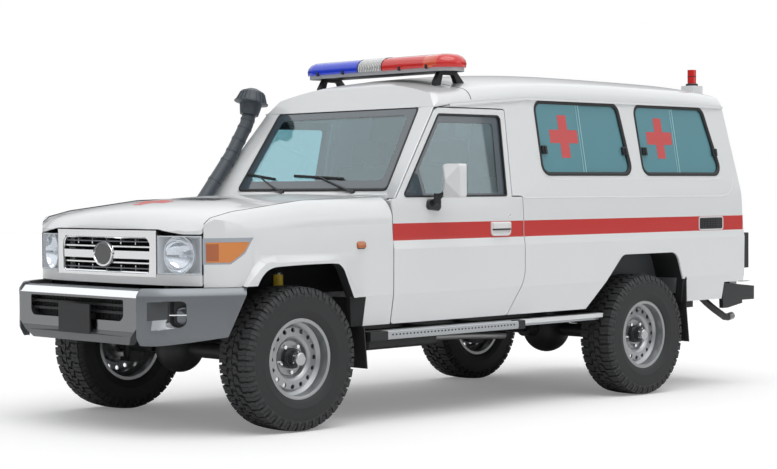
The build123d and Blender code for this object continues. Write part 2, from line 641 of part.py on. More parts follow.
REAR_SPAN = (REAR_END_X, BODY_REAR_X + 215)     # holds the rear frame and the rear doors


def rear_slab(depth_from, depth_to):
    """Slab behind the rear face between two depths."""
    line = [(x, z) for x, z in REAR_SLOPE]
    line[0] = (line[0][0], 560)
    points = [(x + depth_from, z) for x, z in line] + [(x + depth_to, z) for x, z in reversed(line)]
    return along_y(points, -900, 900)


def rear_frame_shape():
    heights = [FLOOR_UNDER + 4] + [z for z, _ in SIDE[1:-1]] + [GUTTER[-1][1]]
    right = [(skin_half_width(z) - SKIN, z) for z in heights]
    outer = along_x(right + [(-y, z) for y, z in reversed(right)], *REAR_SPAN)
    opening = along_x(rear_outline(0, REAR_DOOR_LOW - GAP, REAR_DOOR_TOP + GAP, 50), *REAR_SPAN)
    throat = along_x(rear_outline(22, REAR_DOOR_LOW + 20, REAR_DOOR_TOP - 20, 40), *REAR_SPAN)
    ring = (rear_slab(0, REAR_FRAME_DEPTH) & outer) - (opening & rear_slab(-10, REAR_FLANGE)) - throat
    pads = [block((rear_x(800) + REAR_DOOR_DEPTH + FIT, rear_x(800) + REAR_FLANGE + 1),
                  (y - 20, y + 20), (REAR_DOOR_LOW + 2, REAR_DOOR_LOW + 18)) for y in (450, -450)]
    return ring + pads[0] + pads[1]


sprung("floor", floor_shape())
sprung("firewall", firewall_shape())
sprung("rear_frame", rear_frame_shape())

# ---------------------------------------------------------------- rear doors
REAR_SPLIT_GAP = 10.0


def face_along_x(face):
    """Face seen from behind, extruded through the rear end of the body."""
    return extrude(Plane.YZ.offset(REAR_SPAN[0]) * face, REAR_SPAN[1] - REAR_SPAN[0])


def rear_door_shape(y_from, y_to, window):
    """Rear door between its split edge and its outer edge, both as outlines seen from behind."""
    full = rear_outline(GAP, REAR_DOOR_LOW, REAR_DOOR_TOP, 44)
    half = outline(full) & outline([(y_from, 500), (y_to, 500), (y_to, 1900), (y_from, 1900)])
    skin = face_along_x(half) & rear_slab(0, DOOR_EDGE)
    box = face_along_x(offset(half, -DOOR_EDGE)) & rear_slab(DOOR_EDGE, REAR_DOOR_DEPTH)
    hole = along_x(window, *REAR_SPAN)
    return (skin + box) - hole


def rear_glass_shape(window):
    return face_along_x(shut(window, -FIT)) & rear_slab(GLASS_INSET, GLASS_INSET + GLASS)


REAR_WINDOWS = {"left": [(216, 1330, 40), (666, 1330, 40), (596, 1700, 40), (216, 1700, 40)],
                "right": [(-666, 1330, 40), (84, 1330, 40), (84, 1700, 40), (-596, 1700, 40)]}
left_rear = rear_door_shape(REAR_SPLIT_Y + REAR_SPLIT_GAP / 2, 900, REAR_WINDOWS["left"])
right_rear = rear_door_shape(-900, REAR_SPLIT_Y - REAR_SPLIT_GAP / 2, REAR_WINDOWS["right"])
sprung("rear_door_left", left_rear)
sprung("rear_door_right", right_rear)
sprung("rear_glass_left", rear_glass_shape(REAR_WINDOWS["left"]))
sprung("rear_glass_right", rear_glass_shape(REAR_WINDOWS["right"]))


def spare_place():
    x = BODY_REAR_X - SPARE_FACE_GAP - TYRE_WIDTH / 2
    return Pos(x, SPARE_CENTRE[0], SPARE_CENTRE[1]) * Rot(0, 0, 90)


def spare_carrier_shape():
    y, z = SPARE_CENTRE
    hub_inner = BODY_REAR_X - SPARE_FACE_GAP - TYRE_WIDTH / 2 + HUB_INBOARD + FIT
    plate = block((BODY_REAR_X - 16, BODY_REAR_X - FIT), (y - 170, y + 170), (z - 150, z + 150))
    post = rod((hub_inner, y, z), (BODY_REAR_X - 2, y, z), 58)
    arms = [rod((hub_inner + 60, y, z), (BODY_REAR_X - 15, y + s * 130, z - 110), 14) for s in (1, -1)]
    return plate + post + arms[0] + arms[1]


sprung("spare_tyre", spare_place() * TYRE)
sprung("spare_rim", spare_place() * RIM)
sprung("spare_carrier", spare_carrier_shape())

# ---------------------------------------------------------------- front end
WING_SKIN = 30.0
WING_CUT_Y = 735.0
# top of a wing in front view: (x, height of the bonnet cut, height of the crease)
WING_SECTIONS = [(DOOR_FRONT_X + GAP, 1234, 1097), (-125, 1219, 1088), (175, 1180, 1080), (355, 1158, 1075),
                 (500, 1124, 1066), (545, 1090, 1054), (600, 1040, 1036)]
# front views of the bonnet: (x, height at its edge, at its shoulder, at its crown)
BONNET_SECTIONS = [(-792, 1236, 1245, 1262), (-500, 1228, 1240, 1262), (-250, 1222, 1234, 1258),
                   (0, 1202, 1217, 1246), (250, 1170, 1190, 1232), (400, 1150, 1172, 1214),
                   (500, 1126, 1150, 1194), (540, 1098, 1134, 1182), (570, 1060, 1116, 1171),
                   (607, 1010, 1078, 1150), (633, 960, 1040, 1120), (652, 900, 1000, 1086)]
BONNET_HALF = WING_CUT_Y - GAP
BONNET_SHOULDER_Y = 605.0
BONNET_THICK = 24.0
SCOOP_HALF = 295.0          # air inlet across the bonnet
SCOOP_FLOOR = [(190.0, 1234.0), (6.0, 1226.0), (-60.0, 1226.0)]     # (x, z), from the front
SCOOP_LIP = 1246.0
LAMP_BACK_X = 492.0
LAMP_Y = (451.0, 728.0)
LAMP_Z = (850.0, 1053.0)
GRILLE_Z = (834.0, 1078.0)
# opening of the grille (y, z, corner radius)
GRILLE_OPEN = [(-392, 850, 18), (392, 850, 18), (398, 1010, 30), (372, 1043, 24), (-372, 1043, 24),
               (-398, 1010, 30)]
VALANCE_Z = 793.0
INDICATOR = [(562, 905), (562, 1040), (300, 1040), (352, 960), (430, 905)]


def nose_face():
    """Plan of the nose from the widest part of the wings forwards."""
    edges = [ThreePointArc((633, -440), (650, 0), (633, 440)),
             ThreePointArc((633, 440), (607, 600), (557, 720)),
             ThreePointArc((557, 720), (450, 806), (310, 842)),
             Line((310, 842), (250, 852)), Line((250, 852), (100, 852)), Line((100, 852), (100, -852)),
             Line((100, -852), (250, -852)), Line((250, -852), (310, -842)),
             ThreePointArc((310, -842), (450, -806), (557, -720)),
             ThreePointArc((557, -720), (607, -600), (633, -440))]
    return make_face(edges)


NOSE = nose_face()


def nose_solid(inset, z_from, z_to):
    face = offset(NOSE, -inset, kind=Kind.INTERSECTION) if inset else NOSE
    return extrude(Plane.XY.offset(z_from) * face, z_to - z_from)


def wing_section(x, z_cut, z_crease, inset):
    rise = z_cut - z_crease
    crease = (842 - inset, z_crease - inset * 0.6)
    cut = (WING_CUT_Y - 40, z_cut + 12 - inset)
    middle = (842 - inset - 0.2 * (842 - WING_CUT_Y), z_crease + 0.66 * rise - inset * 0.9)
    side = [(812 - inset, 480), (815 - inset, 520), (848 - inset, 700), (852 - inset, 952)]
    edges = [Polyline((600, 480), *side, crease), ThreePointArc(crease, middle, cut),
             Polyline(cut, (600, z_cut + 12 - inset), (600, 480))]
    return Plane.YZ.offset(x) * make_face(edges)


# the flare round the front arch (x, z): its foot on the skin and its lip, which follows the arch
FLARE_FOOT = [(366, 796), (275, 928), (168, 950), (-294, 942), (-480, 697)]
FLARE_LIP = [(378, 788), (243, 903), (150, 906), (-296, 904), (-388, 698)]
FLARE_FOOT_Y = 846.0
FLARE_LIP_Y = 881.0


def flare_shape():
    """Raised rim of the front arch, sloping from the skin out to the lip."""
    sections = []
    steps = [(FLARE_FOOT_Y - WING_SKIN, FLARE_FOOT), (FLARE_FOOT_Y, FLARE_FOOT), (FLARE_LIP_Y, FLARE_LIP)]
    for y, line in steps:
        inside = [(FLARE_LIP[-1][0], 600), (FLARE_LIP[0][0], 600)]
        sections.append(Plane.XZ.offset(-y) * outline(line + inside))
    return loft(sections, ruled=True) & block((-700, 700), SIDE_Y, (FLARE_LIP[-1][1], 1000))


def wing_shape():
    outer = loft([wing_section(*row, 0) for row in WING_SECTIONS], ruled=True)
    inner = loft([wing_section(*row, WING_SKIN) for row in WING_SECTIONS], ruled=True)
    behind = block((-900, 100.5), (500, 900), (400, 1300))
    outer = outer & (nose_solid(0, 400, 1300) + behind)
    inner = inner & (nose_solid(WING_SKIN, 400, 1300) + block((-900, 200), (500, 900), (400, 1300)))
    wing = (outer - inner) & block((-900, 700), (WING_CUT_Y, 900), (SILL_Z, 1300))
    wing = wing + flare_shape()
    wing = wing - along_y(FRONT_ARCH, *SIDE_Y)
    wing = wing - face_along_y(shut(INDICATOR, FIT), *SIDE_Y)
    return wing - block((200, 700), (500, LAMP_Y[1] + FIT), (400, 1300))


def indicator_shape():
    shell = nose_solid(0, 800, 1100) - nose_solid(WING_SKIN, 700, 1200)
    outboard = block((280, 700), (LAMP_Y[1] + FIT, 900), (800, 1100))
    return shell & outboard & along_y(INDICATOR, 600, 1000)


def lamp_shape():
    return nose_solid(0, *LAMP_Z) & block((LAMP_BACK_X, 700), LAMP_Y, LAMP_Z)


def grille_shape():
    shell = (nose_solid(0, *GRILLE_Z) - nose_solid(45, 700, 1200)) & \
        block((500, 700), (-LAMP_Y[0] + FIT, LAMP_Y[0] - FIT), GRILLE_Z)
    return shell - along_x(GRILLE_OPEN, 500, 700)


# bars across the grille: (bottom, top, how far behind the nose, depth)
GRILLE_BARS = [(926, 968, 4, 24), (986, 994, 12, 16), (900, 908, 12, 16), (1014, 1020, 18, 12),
               (872, 878, 18, 12)]
GRILLE_TICKS = 5            # short uprights on each of the two outer bars
TICK_RISE = 12.0
BADGE = (70.0, 62.0)        # blank oval: half width, half height
BADGE_Z = 947.0


def grille_bar_shape():
    half = GRILLE_OPEN[1][0]
    bars = [(nose_solid(inset, low, high) - nose_solid(inset + depth, 700, 1200))
            & block((500, 700), (-half, half), (low, high)) for low, high, inset, depth in GRILLE_BARS]
    pitch = 2 * half / (GRILLE_TICKS + 1)
    places = [i * pitch for i in range(-(GRILLE_TICKS // 2), GRILLE_TICKS // 2 + 1)]
    ticks = [block((604, 626), (y - 4, y + 4), (low - TICK_RISE, high + TICK_RISE))
             for low, high, _, _ in GRILLE_BARS[3:] for y in places]
    badge = extrude(Plane.YZ.offset(616) * (Pos(0, BADGE_Z) * Ellipse(*BADGE)), 32)
    seat = [(y * (1 - FIT / half), z, radius) for y, z, radius in GRILLE_OPEN]
    return fused(bars + ticks + [badge]) & along_x(seat, 500, 700)


def front_panel_shape():
    support = block((LAMP_BACK_X - 24, LAMP_BACK_X - FIT), (-720, 720), (690 + FIT, 1052))
    support = support - block((400, 600), (-370, 370), (720, 1010))
    valance = (nose_solid(0, VALANCE_Z, GRILLE_Z[0] - FIT) - nose_solid(40, 700, 1200)) & \
        block((400, 700), (-LAMP_Y[1], LAMP_Y[1]), (700, 1000))
    sides = (nose_solid(0, GRILLE_Z[0] - 2, LAMP_Z[0] - FIT) - nose_solid(40, 700, 1200)) & \
        block((400, 700), (LAMP_Y[0], LAMP_Y[1]), (700, 1000))
    ties = block((LAMP_BACK_X - 2, 600), (500, 540), (VALANCE_Z, VALANCE_Z + 30))
    apron = block((DOOR_FRONT_X - 40, LAMP_BACK_X - 20), (RAIL_OUT + 12, RAIL_OUT + 30), (705, 1110))
    shape = support + valance
    for piece in (sides, ties, apron):
        shape = shape + piece + mirrored(piece)
    return shape


def bonnet_section(x, z_edge, z_shoulder, crown, drop):
    half, shoulder = BONNET_HALF, BONNET_SHOULDER_Y
    foot = 860
    left, right = (shoulder, z_shoulder - drop), (-shoulder, z_shoulder - drop)
    edges = [Polyline((half, foot), (half, z_edge - drop), left), ThreePointArc(left, (0, crown - drop), right),
             Polyline(right, (-half, z_edge - drop), (-half, foot), (half, foot))]
    return Plane.YZ.offset(x) * make_face(edges)


def scoop_cut():
    """Hollow of the air inlet: a ramp that sinks into the bonnet and runs in under a lip."""
    front, mouth, end = SCOOP_FLOOR
    side_view = [front, mouth, end, (end[0], SCOOP_LIP - 4), (mouth[0], SCOOP_LIP), (mouth[0] + 6, 1300),
                 (front[0], 1300)]
    return along_y(side_view, -SCOOP_HALF, SCOOP_HALF)


def bonnet_shape():
    outer = loft([bonnet_section(*row, 0) for row in BONNET_SECTIONS], ruled=True)
    inner = loft([bonnet_section(*row, BONNET_THICK) for row in BONNET_SECTIONS], ruled=True)
    (front, _), _, (end, floor) = SCOOP_FLOOR
    duct = block((end - 25, front), (-SCOOP_HALF - 10, SCOOP_HALF + 10), (floor - BONNET_THICK, floor))
    shell = ((outer - inner) + (duct & outer)) - scoop_cut()
    shell = shell & (nose_solid(2, 900, 1400) + block((-900, 110), (-900, 900), (900, 1400)))
    over_grille, over_lamps = GRILLE_Z[1] + GAP, LAMP_Z[1] + GAP
    flat = LAMP_Y[0] + 4
    wide = LAMP_Y[1] - 100
    edge = [(-900, over_lamps), (-wide, over_lamps), (-flat, over_grille), (flat, over_grille),
            (wide, over_lamps), (900, over_lamps), (900, 1400), (-900, 1400)]
    return shell & along_x(edge, -900, 700)


left_wing, left_lamp, left_indicator = wing_shape(), lamp_shape(), indicator_shape()
sprung("wing_left", left_wing)
sprung("wing_right", mirrored(left_wing))
sprung("bonnet", bonnet_shape())
sprung("front_panel", front_panel_shape())
sprung("grille", grille_shape())
sprung("grille_bars", grille_bar_shape())
sprung("headlamps", Compound([left_lamp, mirrored(left_lamp)]))
sprung("indicators", Compound([left_indicator, mirrored(left_indicator)]))

# ---------------------------------------------------------------- bumpers, boards, flaps
BUMPER_REAR_X = BODY_REAR_X - 154.0
TOW_PIN_X = BUMPER_REAR_X - 43.0
TOW_PIN_BORE = 12.5
TOW_JAW_Z = (540.0, 570.0)
BUMPER_FACE_X = 829.0
BUMPER_BACK_X = 770.0
BUMPER_HALF = 536.0
BUMPER_Z = (489.0, 777.0)
BUMPER_OPEN = [(-425, 612, 40), (425, 612, 40), (425, 724, 12), (-425, 724, 12)]     # (y, z, corner radius)
BUMPER_CHAMFER = (95.0, 90.0)       # lower outer corner of the chromed middle: along y, up
PLATE = (-125.0, 161.0, 535.0, 692.0)       # blank plate: y from, y to, z from, z to
PLATE_STAND = 26.0          # it stands ahead of the bumper's face by this


def front_bumper_shape():
    half, (low, high) = BUMPER_HALF, BUMPER_Z
    across, rise = BUMPER_CHAMFER
    face = [(-half + across, low), (half - across, low), (half, low + rise), (half, high - 36),
            (half - 10, high), (-half + 10, high), (-half, high - 36), (-half, low + rise)]
    side = [(BUMPER_BACK_X, low - 1), (BUMPER_FACE_X - 24, low - 1), (BUMPER_FACE_X, low + 44),
            (BUMPER_FACE_X, high - 40), (BUMPER_FACE_X - 26, high - 6), (BUMPER_BACK_X, high + 1)]
    beam = along_x(face, BUMPER_BACK_X, BUMPER_FACE_X) & along_y(side, -half, half)
    opening = along_x(BUMPER_OPEN, BUMPER_BACK_X - 10, FRONT_END_X)
    bar_half = BUMPER_OPEN[1][0] + 1
    bar_x = (BUMPER_BACK_X + 15, BUMPER_BACK_X + 35)
    bars = [block(bar_x, (-bar_half, bar_half), (z, z + 14)) for z in (646, 684)]
    y_from, y_to, z_from, z_to = PLATE
    plate_x = BUMPER_FACE_X + PLATE_STAND
    plate = block((plate_x - 8, plate_x), (y_from, y_to), (z_from, z_to))
    mount = block((BUMPER_FACE_X - 40, plate_x - 4), (y_from + 30, y_to - 30), (z_from + 10, 640))
    return (beam - opening) + bars[0] + bars[1] + mount + plate


# plan of a bumper end's outer face: (x, y beyond the chromed middle), and its wall and height
BUMPER_END_LINE = [(829, 0), (760, 112), (680, 180), (600, 232), (480, 294), (361, 349)]
BUMPER_END_WALL = 52.0
BUMPER_END_TOP = 784.0
# opening for the fog lamp in the bumper end: (y beyond the chromed middle, z, corner radius)
FOG_OPEN = [(158, 600, 34), (268, 596, 34), (268, 706, 20), (196, 712, 14), (158, 690, 14)]


def inset_line(points, depth):
    """Open line of points moved sideways by a distance."""
    moved = []
    for i, (x, y) in enumerate(points):
        x0, y0 = points[max(i - 1, 0)]
        x1, y1 = points[min(i + 1, len(points) - 1)]
        run = ((x1 - x0) ** 2 + (y1 - y0) ** 2) ** 0.5
        moved.append((x - (y1 - y0) / run * depth, y + (x1 - x0) / run * depth))
    return moved


def bumper_end_plan(step_back, z):
    """Plan of the left bumper end at a height, its outer face moved in by a distance."""
    start = BUMPER_HALF + FIT
    line = [(x, start + y) for x, y in BUMPER_END_LINE]
    inner = [(BUMPER_BACK_X, start)] + inset_line(line, BUMPER_END_WALL)[1:]
    outer = [(line[0][0] - step_back, start)] + inset_line(line, step_back)[1:]
    edges = [Spline(*outer), Line(outer[-1], inner[-1]), Spline(*reversed(inner)), Line(inner[0], outer[0])]
    return Plane.XY.offset(z) * make_face(edges)


def bumper_end_shape():
    low, top = BUMPER_Z[0], BUMPER_END_TOP
    # (height, how far the outer face is moved in)
    levels = [(low, 24), (low + 44, 0), (top - 36, 0), (top, 24)]
    sections = [bumper_end_plan(step_back, z) for z, step_back in levels]
    shape = fused([loft(pair, ruled=True) for pair in zip(sections, sections[1:])])
    rear_x, rear_z = BUMPER_END_LINE[-1][0], low + 42
    below = [(200, 400), (200, top + 16), (rear_x, top), (rear_x + 106, rear_z), (760, low), (760, 400)]
    shape = shape - along_y(below, BUMPER_HALF - 10, SIDE_Y[1])
    fog = [(BUMPER_HALF + y, z, radius) for y, z, radius in FOG_OPEN]
    return shape - along_x(fog, 300, FRONT_END_X)


REAR_BUMPER_HALF = 822.0


def rear_bumper_shape():
    front, side_end = BODY_REAR_X - 10, BUMPER_CORNER_X - 4
    half, wall = REAR_BUMPER_HALF, 32
    beam = block((BUMPER_REAR_X, front), (-half, half), (516, 640))
    ends = block((front - 5, side_end), (half - wall, half), (470, 640))
    shape = beam + ends + mirrored(ends)
    side_view = [(side_end, 644), (BUMPER_REAR_X, 608), (BUMPER_REAR_X, 516), (side_end - 10, 462)]
    shape = shape & along_y(side_view, -900, 900)
    jaw = block((TOW_PIN_X - 32, BUMPER_REAR_X + 10), (-40, 40), TOW_JAW_Z)
    bore = Pos(TOW_PIN_X, 0, sum(TOW_JAW_Z) / 2) * Cylinder(TOW_PIN_BORE, 80)
    return (shape + jaw) - bore


BOARD_X = (-1781.0, -680.0)
BOARD_Y = (705.0, 862.0)
BOARD_Z = (462.0, 490.0)
BOARD_STAYS = (-800.0, -1240.0, -1680.0)
FLAP_THICK = 8.0


def running_board_shape():
    low, high = BOARD_Z
    board = block(BOARD_X, BOARD_Y, BOARD_Z)
    across = (RAIL_OUT + FIT, BOARD_Y[0] + 15)
    stays = [block((x - 25, x + 25), across, (low + 2, high - 4)) for x in BOARD_STAYS]
    return fused([board] + stays)


def flap(line, y_inner, y_outer, y_outer_high):
    """Mud flap hanging down a side-view line of three points (x, z), narrower above the middle one."""
    top, middle, low = line
    back = -FLAP_THICK
    lower = along_y([middle, (middle[0] + back, middle[1]), (low[0] + back, low[1]), low], y_inner, y_outer)
    upper_line = [top, (top[0] + back, top[1]), (middle[0] + back, middle[1] - 1), (middle[0], middle[1] - 1)]
    upper = along_y(upper_line, y_inner, y_outer_high)
    stay_z = middle[1] + 25
    stay = block((middle[0] - 4, middle[0] + 12), (RAIL_OUT + FIT, y_inner + 30), (stay_z, stay_z + 20))
    return lower + upper + stay


def flap_shapes():
    front_inner = (TRACK_FRONT - TYRE_WIDTH) / 2 - 24
    front = flap([(-462, 690), (-478, 535), (-500, 300)], front_inner, 850, 778)
    x = REAR_AXLE_X - 428
    rear = flap([(x + 4, 588), (x, 530), (x - 32, 270)], REAR_TYRE_INNER + 13, 845, 765)
    return [front, rear]


sprung("front_bumper", front_bumper_shape())
left_end = bumper_end_shape()
sprung("bumper_ends", Compound([left_end, mirrored(left_end)]))
sprung("rear_bumper", rear_bumper_shape())
left_board = running_board_shape()
sprung("running_boards", Compound([left_board, mirrored(left_board)]))
flaps = flap_shapes()
sprung("mud_flaps", Compound(flaps + [mirrored(f) for f in flaps]))

# ---------------------------------------------------------------- lamps, mirrors, snorkel
TAIL_LAMP_DEPTH = 66.0      # behind the rear post
TAIL_LAMP_INSET = 14.0      # from the widest part of the skin
TAIL_LAMP_WIDTH = 68.0
TAIL_LAMP_Z = (737.0, 977.0)
lamp_outer = max(y for _, y in SIDE) - TAIL_LAMP_INSET
lamp = block((BODY_REAR_X - TAIL_LAMP_DEPTH, BODY_REAR_X), (lamp_outer - TAIL_LAMP_WIDTH, lamp_outer),
             TAIL_LAMP_Z)
sprung("tail_lamps", Compound([lamp, mirrored(lamp)]))


MIRROR_HEAD = ((-1061.0, -999.0), (941.0, 1069.0), (1244.0, 1428.0))
MIRROR_FOOT = (-1029.0, 1190.0)     # x, z on the door


def mirror_shape():
    x, y, z = MIRROR_HEAD
    head = block(x, y, z)
    head = fillet(head.edges().filter_by(Axis.X), 26)
    head = fillet(head.faces().sort_by(Axis.X)[-1].edges(), 22)
    foot_x, foot_z = MIRROR_FOOT
    skin = skin_half_width(foot_z)
    middle = (sum(x) / 2, sum(y) / 2 - 20, z[0] + 30)
    arm = rod((foot_x, skin + 6, foot_z), middle, 14)
    foot = rod((foot_x, skin - 2, foot_z), (foot_x, skin + 22, foot_z), 34)
    return head + arm + foot


left_mirror = mirror_shape() - left_door
sprung("mirror_left", left_mirror)
sprung("mirror_right", mirrored(left_mirror))


def snorkel_shape():
    line = [(-620, -778, 1180), (-885, -778, 1503), (-1002, -768, 1697), (-1026, -768, 1760)]
    pieces = [rod(a, b, 43) for a, b in zip(line, line[1:])] + [Pos(*p) * Sphere(43) for p in line[1:-1]]
    head = [(0, 0), (58, 0), (72, 70), (97, 76), (97, 84), (72, 150), (30, 170), (0, 170)]
    top = Plane(origin=line[-1], z_dir=(-0.22, 0, 0.975)) * revolve(Plane.XZ * outline(head), Axis.Z)
    shape = (fused(pieces) + top) - mirrored(left_wing)
    return shape.solids().sort_by(SortBy.VOLUME)[-1]


sprung("snorkel", snorkel_shape())

LIGHT_X = -1474.0           # middle of the light bar
LIGHT_DEPTH = 250.0
LIGHT_HALF = 650.0
LIGHT_Z = (1987.0, 2092.0)
LIGHT_BASE = 22.0           # black base under the lenses
LENS_CUTS = (-112.0, 96.0)  # the clear middle lens, between the coloured ones
FOOT_Y = 510.0
FOOT_X = (-1630.0, -1386.0)


def light_outline(shrink):
    """Plan of the light bar, rounded at both ends, drawn in by a distance."""
    return Pos(LIGHT_X, 0) * SlotOverall(2 * (LIGHT_HALF - shrink), LIGHT_DEPTH - 2 * shrink, rotation=90)


def light_bar_shapes():
    low, top = LIGHT_Z
    base = extrude(Plane.XY.offset(low) * light_outline(14), LIGHT_BASE)
    rear, front = FOOT_X
    under = low - 18
    arch = [(rear, 1880), (rear, 1926), (rear + 62, low + 2), (front - 40, low + 2), (front, 1926),
            (front, 1880), (front - 34, 1880), (front - 62, under, 12), (rear + 84, under, 12),
            (rear + 40, 1880)]
    feet = [along_y(arch, y - 17, y + 17) for y in (FOOT_Y, -FOOT_Y)]
    frame = fused([base] + feet) - cab_roof - rear_roof
    frame = frame.solids().sort_by(SortBy.VOLUME)[-1]
    # (height, how far the lens is drawn in), from its foot up
    rise = top - low - LIGHT_BASE
    levels = [(0, 4), (0.3, 0), (0.55, 6), (0.8, 24), (0.95, 52), (1.0, 86)]
    sections = [Plane.XY.offset(low + LIGHT_BASE + share * rise) * light_outline(shrink)
                for share, shrink in levels]
    dome = loft(sections, ruled=True)
    left, right = LENS_CUTS
    spans = [(-LIGHT_HALF - 1, left - FIT), (left, right), (right + FIT, LIGHT_HALF + 1)]
    across = (LIGHT_X - LIGHT_DEPTH, LIGHT_X + LIGHT_DEPTH)
    return frame, [dome & block(across, span, (low, top + 1)) for span in spans]


carrier, lenses = light_bar_shapes()
sprung("light_bar", carrier)
sprung("light_lenses", Compound(lenses))

BEACON_X, BEACON_Y = BODY_REAR_X + 160.0, 530.0
BEACON_Z = (1985.0, 2095.0)
BEACON_BASE = (55.0, 50.0)      # half length, half width
BEACON_RADIUS = 29.0
beacon_base = block((BEACON_X - BEACON_BASE[0], BEACON_X + BEACON_BASE[0]),
                    (BEACON_Y - BEACON_BASE[1], BEACON_Y + BEACON_BASE[1]), (1900, BEACON_Z[0]))
beacon_base = (beacon_base - rear_roof).solids().sort_by(Axis.Z)[-1]
beacon = Pos(BEACON_X, BEACON_Y, BEACON_Z[0]) * extrude(Circle(BEACON_RADIUS), BEACON_Z[1] - BEACON_Z[0])
sprung("beacon", beacon_base + beacon)

# ---------------------------------------------------------------- inside the cab
SEAT_Y = 360.0


def seat_shape(side):
    y = side * SEAT_Y
    base = block((-1640, -1180), (y - 240, y + 240), (FLOOR_Z, 800))
    cushion = block((-1660, -1160), (y - 250, y + 250), (798, 920))
    back = along_y([(-1640, 900), (-1540, 915), (-1640, 1430), (-1720, 1420)], y - 240, y + 240)
    return base + cushion + back


def dashboard_shape():
    dash = along_y([(FIREWALL_X - FIREWALL_THICK, 900), (-1010, 960), (-1000, 1110), (-900, 1170),
                    (FIREWALL_X - FIREWALL_THICK, 1170)], -690, 690)
    column = rod((-980, SEAT_Y, 1050), (-1180, SEAT_Y, 1110), 26)
    wheel = Torus(185, 13) + Box(370, 30, 14) + Cylinder(50, 24)
    return dash + column + Plane(origin=(-1180, SEAT_Y, 1110), z_dir=(-0.9, 0, 0.44)) * wheel


sprung("seats", Compound([seat_shape(1), seat_shape(-1)]))
sprung("dashboard", dashboard_shape())


# ---------------------------------------------------------------- write the pieces
OVERALL_FRONT = world(BUMPER_FACE_X + PLATE_STAND, PLATE[3])[0]
SPARE_LOW_Z = SPARE_CENTRE[1] - TYRE_RADIUS + LUG_DEPTH + 34     # lower end of its flat side wall
OVERALL_REAR = world(BODY_REAR_X - SPARE_FACE_GAP - TYRE_WIDTH, SPARE_LOW_Z)[0]
X_SHIFT = -(OVERALL_FRONT + OVERALL_REAR) / 2


def placed(name):
    shape, is_sprung = nodes[name]
    if is_sprung:
        shape = Rot(0, RAKE, 0) * shape
    return Pos(X_SHIFT, 0, 0) * shape


for name in nodes:
    export_step(placed(name), f"parts/{name}.step")
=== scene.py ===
import json
import math
import bmesh
import bpy
from mathutils.bvhtree import BVHTree
from mathutils import Matrix, Vector

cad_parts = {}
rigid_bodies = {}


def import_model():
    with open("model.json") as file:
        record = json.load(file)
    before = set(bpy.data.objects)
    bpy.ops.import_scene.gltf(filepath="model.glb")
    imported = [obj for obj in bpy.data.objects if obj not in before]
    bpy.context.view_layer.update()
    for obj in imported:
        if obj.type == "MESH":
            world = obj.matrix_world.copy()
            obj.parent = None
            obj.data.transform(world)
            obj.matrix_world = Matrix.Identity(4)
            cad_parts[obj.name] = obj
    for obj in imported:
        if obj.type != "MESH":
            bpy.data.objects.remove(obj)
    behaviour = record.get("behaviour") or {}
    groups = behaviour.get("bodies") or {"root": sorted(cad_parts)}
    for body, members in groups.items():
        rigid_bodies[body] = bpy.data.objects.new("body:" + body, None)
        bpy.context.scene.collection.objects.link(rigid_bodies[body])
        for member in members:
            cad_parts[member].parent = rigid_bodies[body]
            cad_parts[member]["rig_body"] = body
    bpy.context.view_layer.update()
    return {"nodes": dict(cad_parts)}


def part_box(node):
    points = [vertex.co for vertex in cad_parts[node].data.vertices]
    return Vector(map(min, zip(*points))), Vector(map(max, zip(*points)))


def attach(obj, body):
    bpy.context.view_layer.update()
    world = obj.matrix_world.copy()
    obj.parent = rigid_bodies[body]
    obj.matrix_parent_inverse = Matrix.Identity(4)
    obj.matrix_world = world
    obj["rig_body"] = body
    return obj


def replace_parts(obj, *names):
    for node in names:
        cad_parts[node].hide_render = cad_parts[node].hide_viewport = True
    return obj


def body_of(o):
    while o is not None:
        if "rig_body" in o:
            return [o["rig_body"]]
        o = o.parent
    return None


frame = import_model()
nodes = frame["nodes"]


# ---------------------------------------------------------------- painted body
# Pressed steel panels welded to each other, with a moulded high roof, sprayed gloss white.
# A red band of film runs along both sides, over the doors and the panels behind them.
RAKE = math.radians(0.86)       # the body stands nose down on its wheels
axle_low, axle_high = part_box("tyre_front_left")
AXLE_X = (axle_low.x + axle_high.x) / 2
STRIPE_Z = (1000, 1096)         # mm over the ground, in the body's own level frame
STRIPE_X = (-4057, -700)        # mm from the front axle


def place(x, y, z):
    """Point in the room of a point on the body, in mm from the front axle, the middle plane and the ground."""
    return Vector(((x * math.cos(RAKE) + z * math.sin(RAKE)) / 1000 + AXLE_X, y / 1000,
                   (z * math.cos(RAKE) - x * math.sin(RAKE)) / 1000))


def on_body(point):
    """The other way round: mm on the body, of a point in the room."""
    x, z = point.x - AXLE_X, point.z
    return Vector((x * math.cos(RAKE) - z * math.sin(RAKE), point.y,
                   z * math.cos(RAKE) + x * math.sin(RAKE))) * 1000


def finish(name, colour, roughness, metallic=0.0, coat=0.0):
    """A plain finish of one colour over the whole surface."""
    material = bpy.data.materials.new(name)
    material.use_nodes = True
    shader = material.node_tree.nodes["Principled BSDF"]
    shader.inputs["Base Color"].default_value = (*colour, 1)
    shader.inputs["Roughness"].default_value = roughness
    shader.inputs["Metallic"].default_value = metallic
    shader.inputs["Coat Weight"].default_value = coat
    shader.inputs["Coat Roughness"].default_value = 0.03
    return material


def step_node(tree, source, middle, half):
    """1 where a value lies within half of middle, and 0 outside."""
    node = tree.nodes.new("ShaderNodeMath")
    node.operation = "COMPARE"
    tree.links.new(source, node.inputs[0])
    node.inputs[1].default_value, node.inputs[2].default_value = middle, half
    return node.outputs[0]


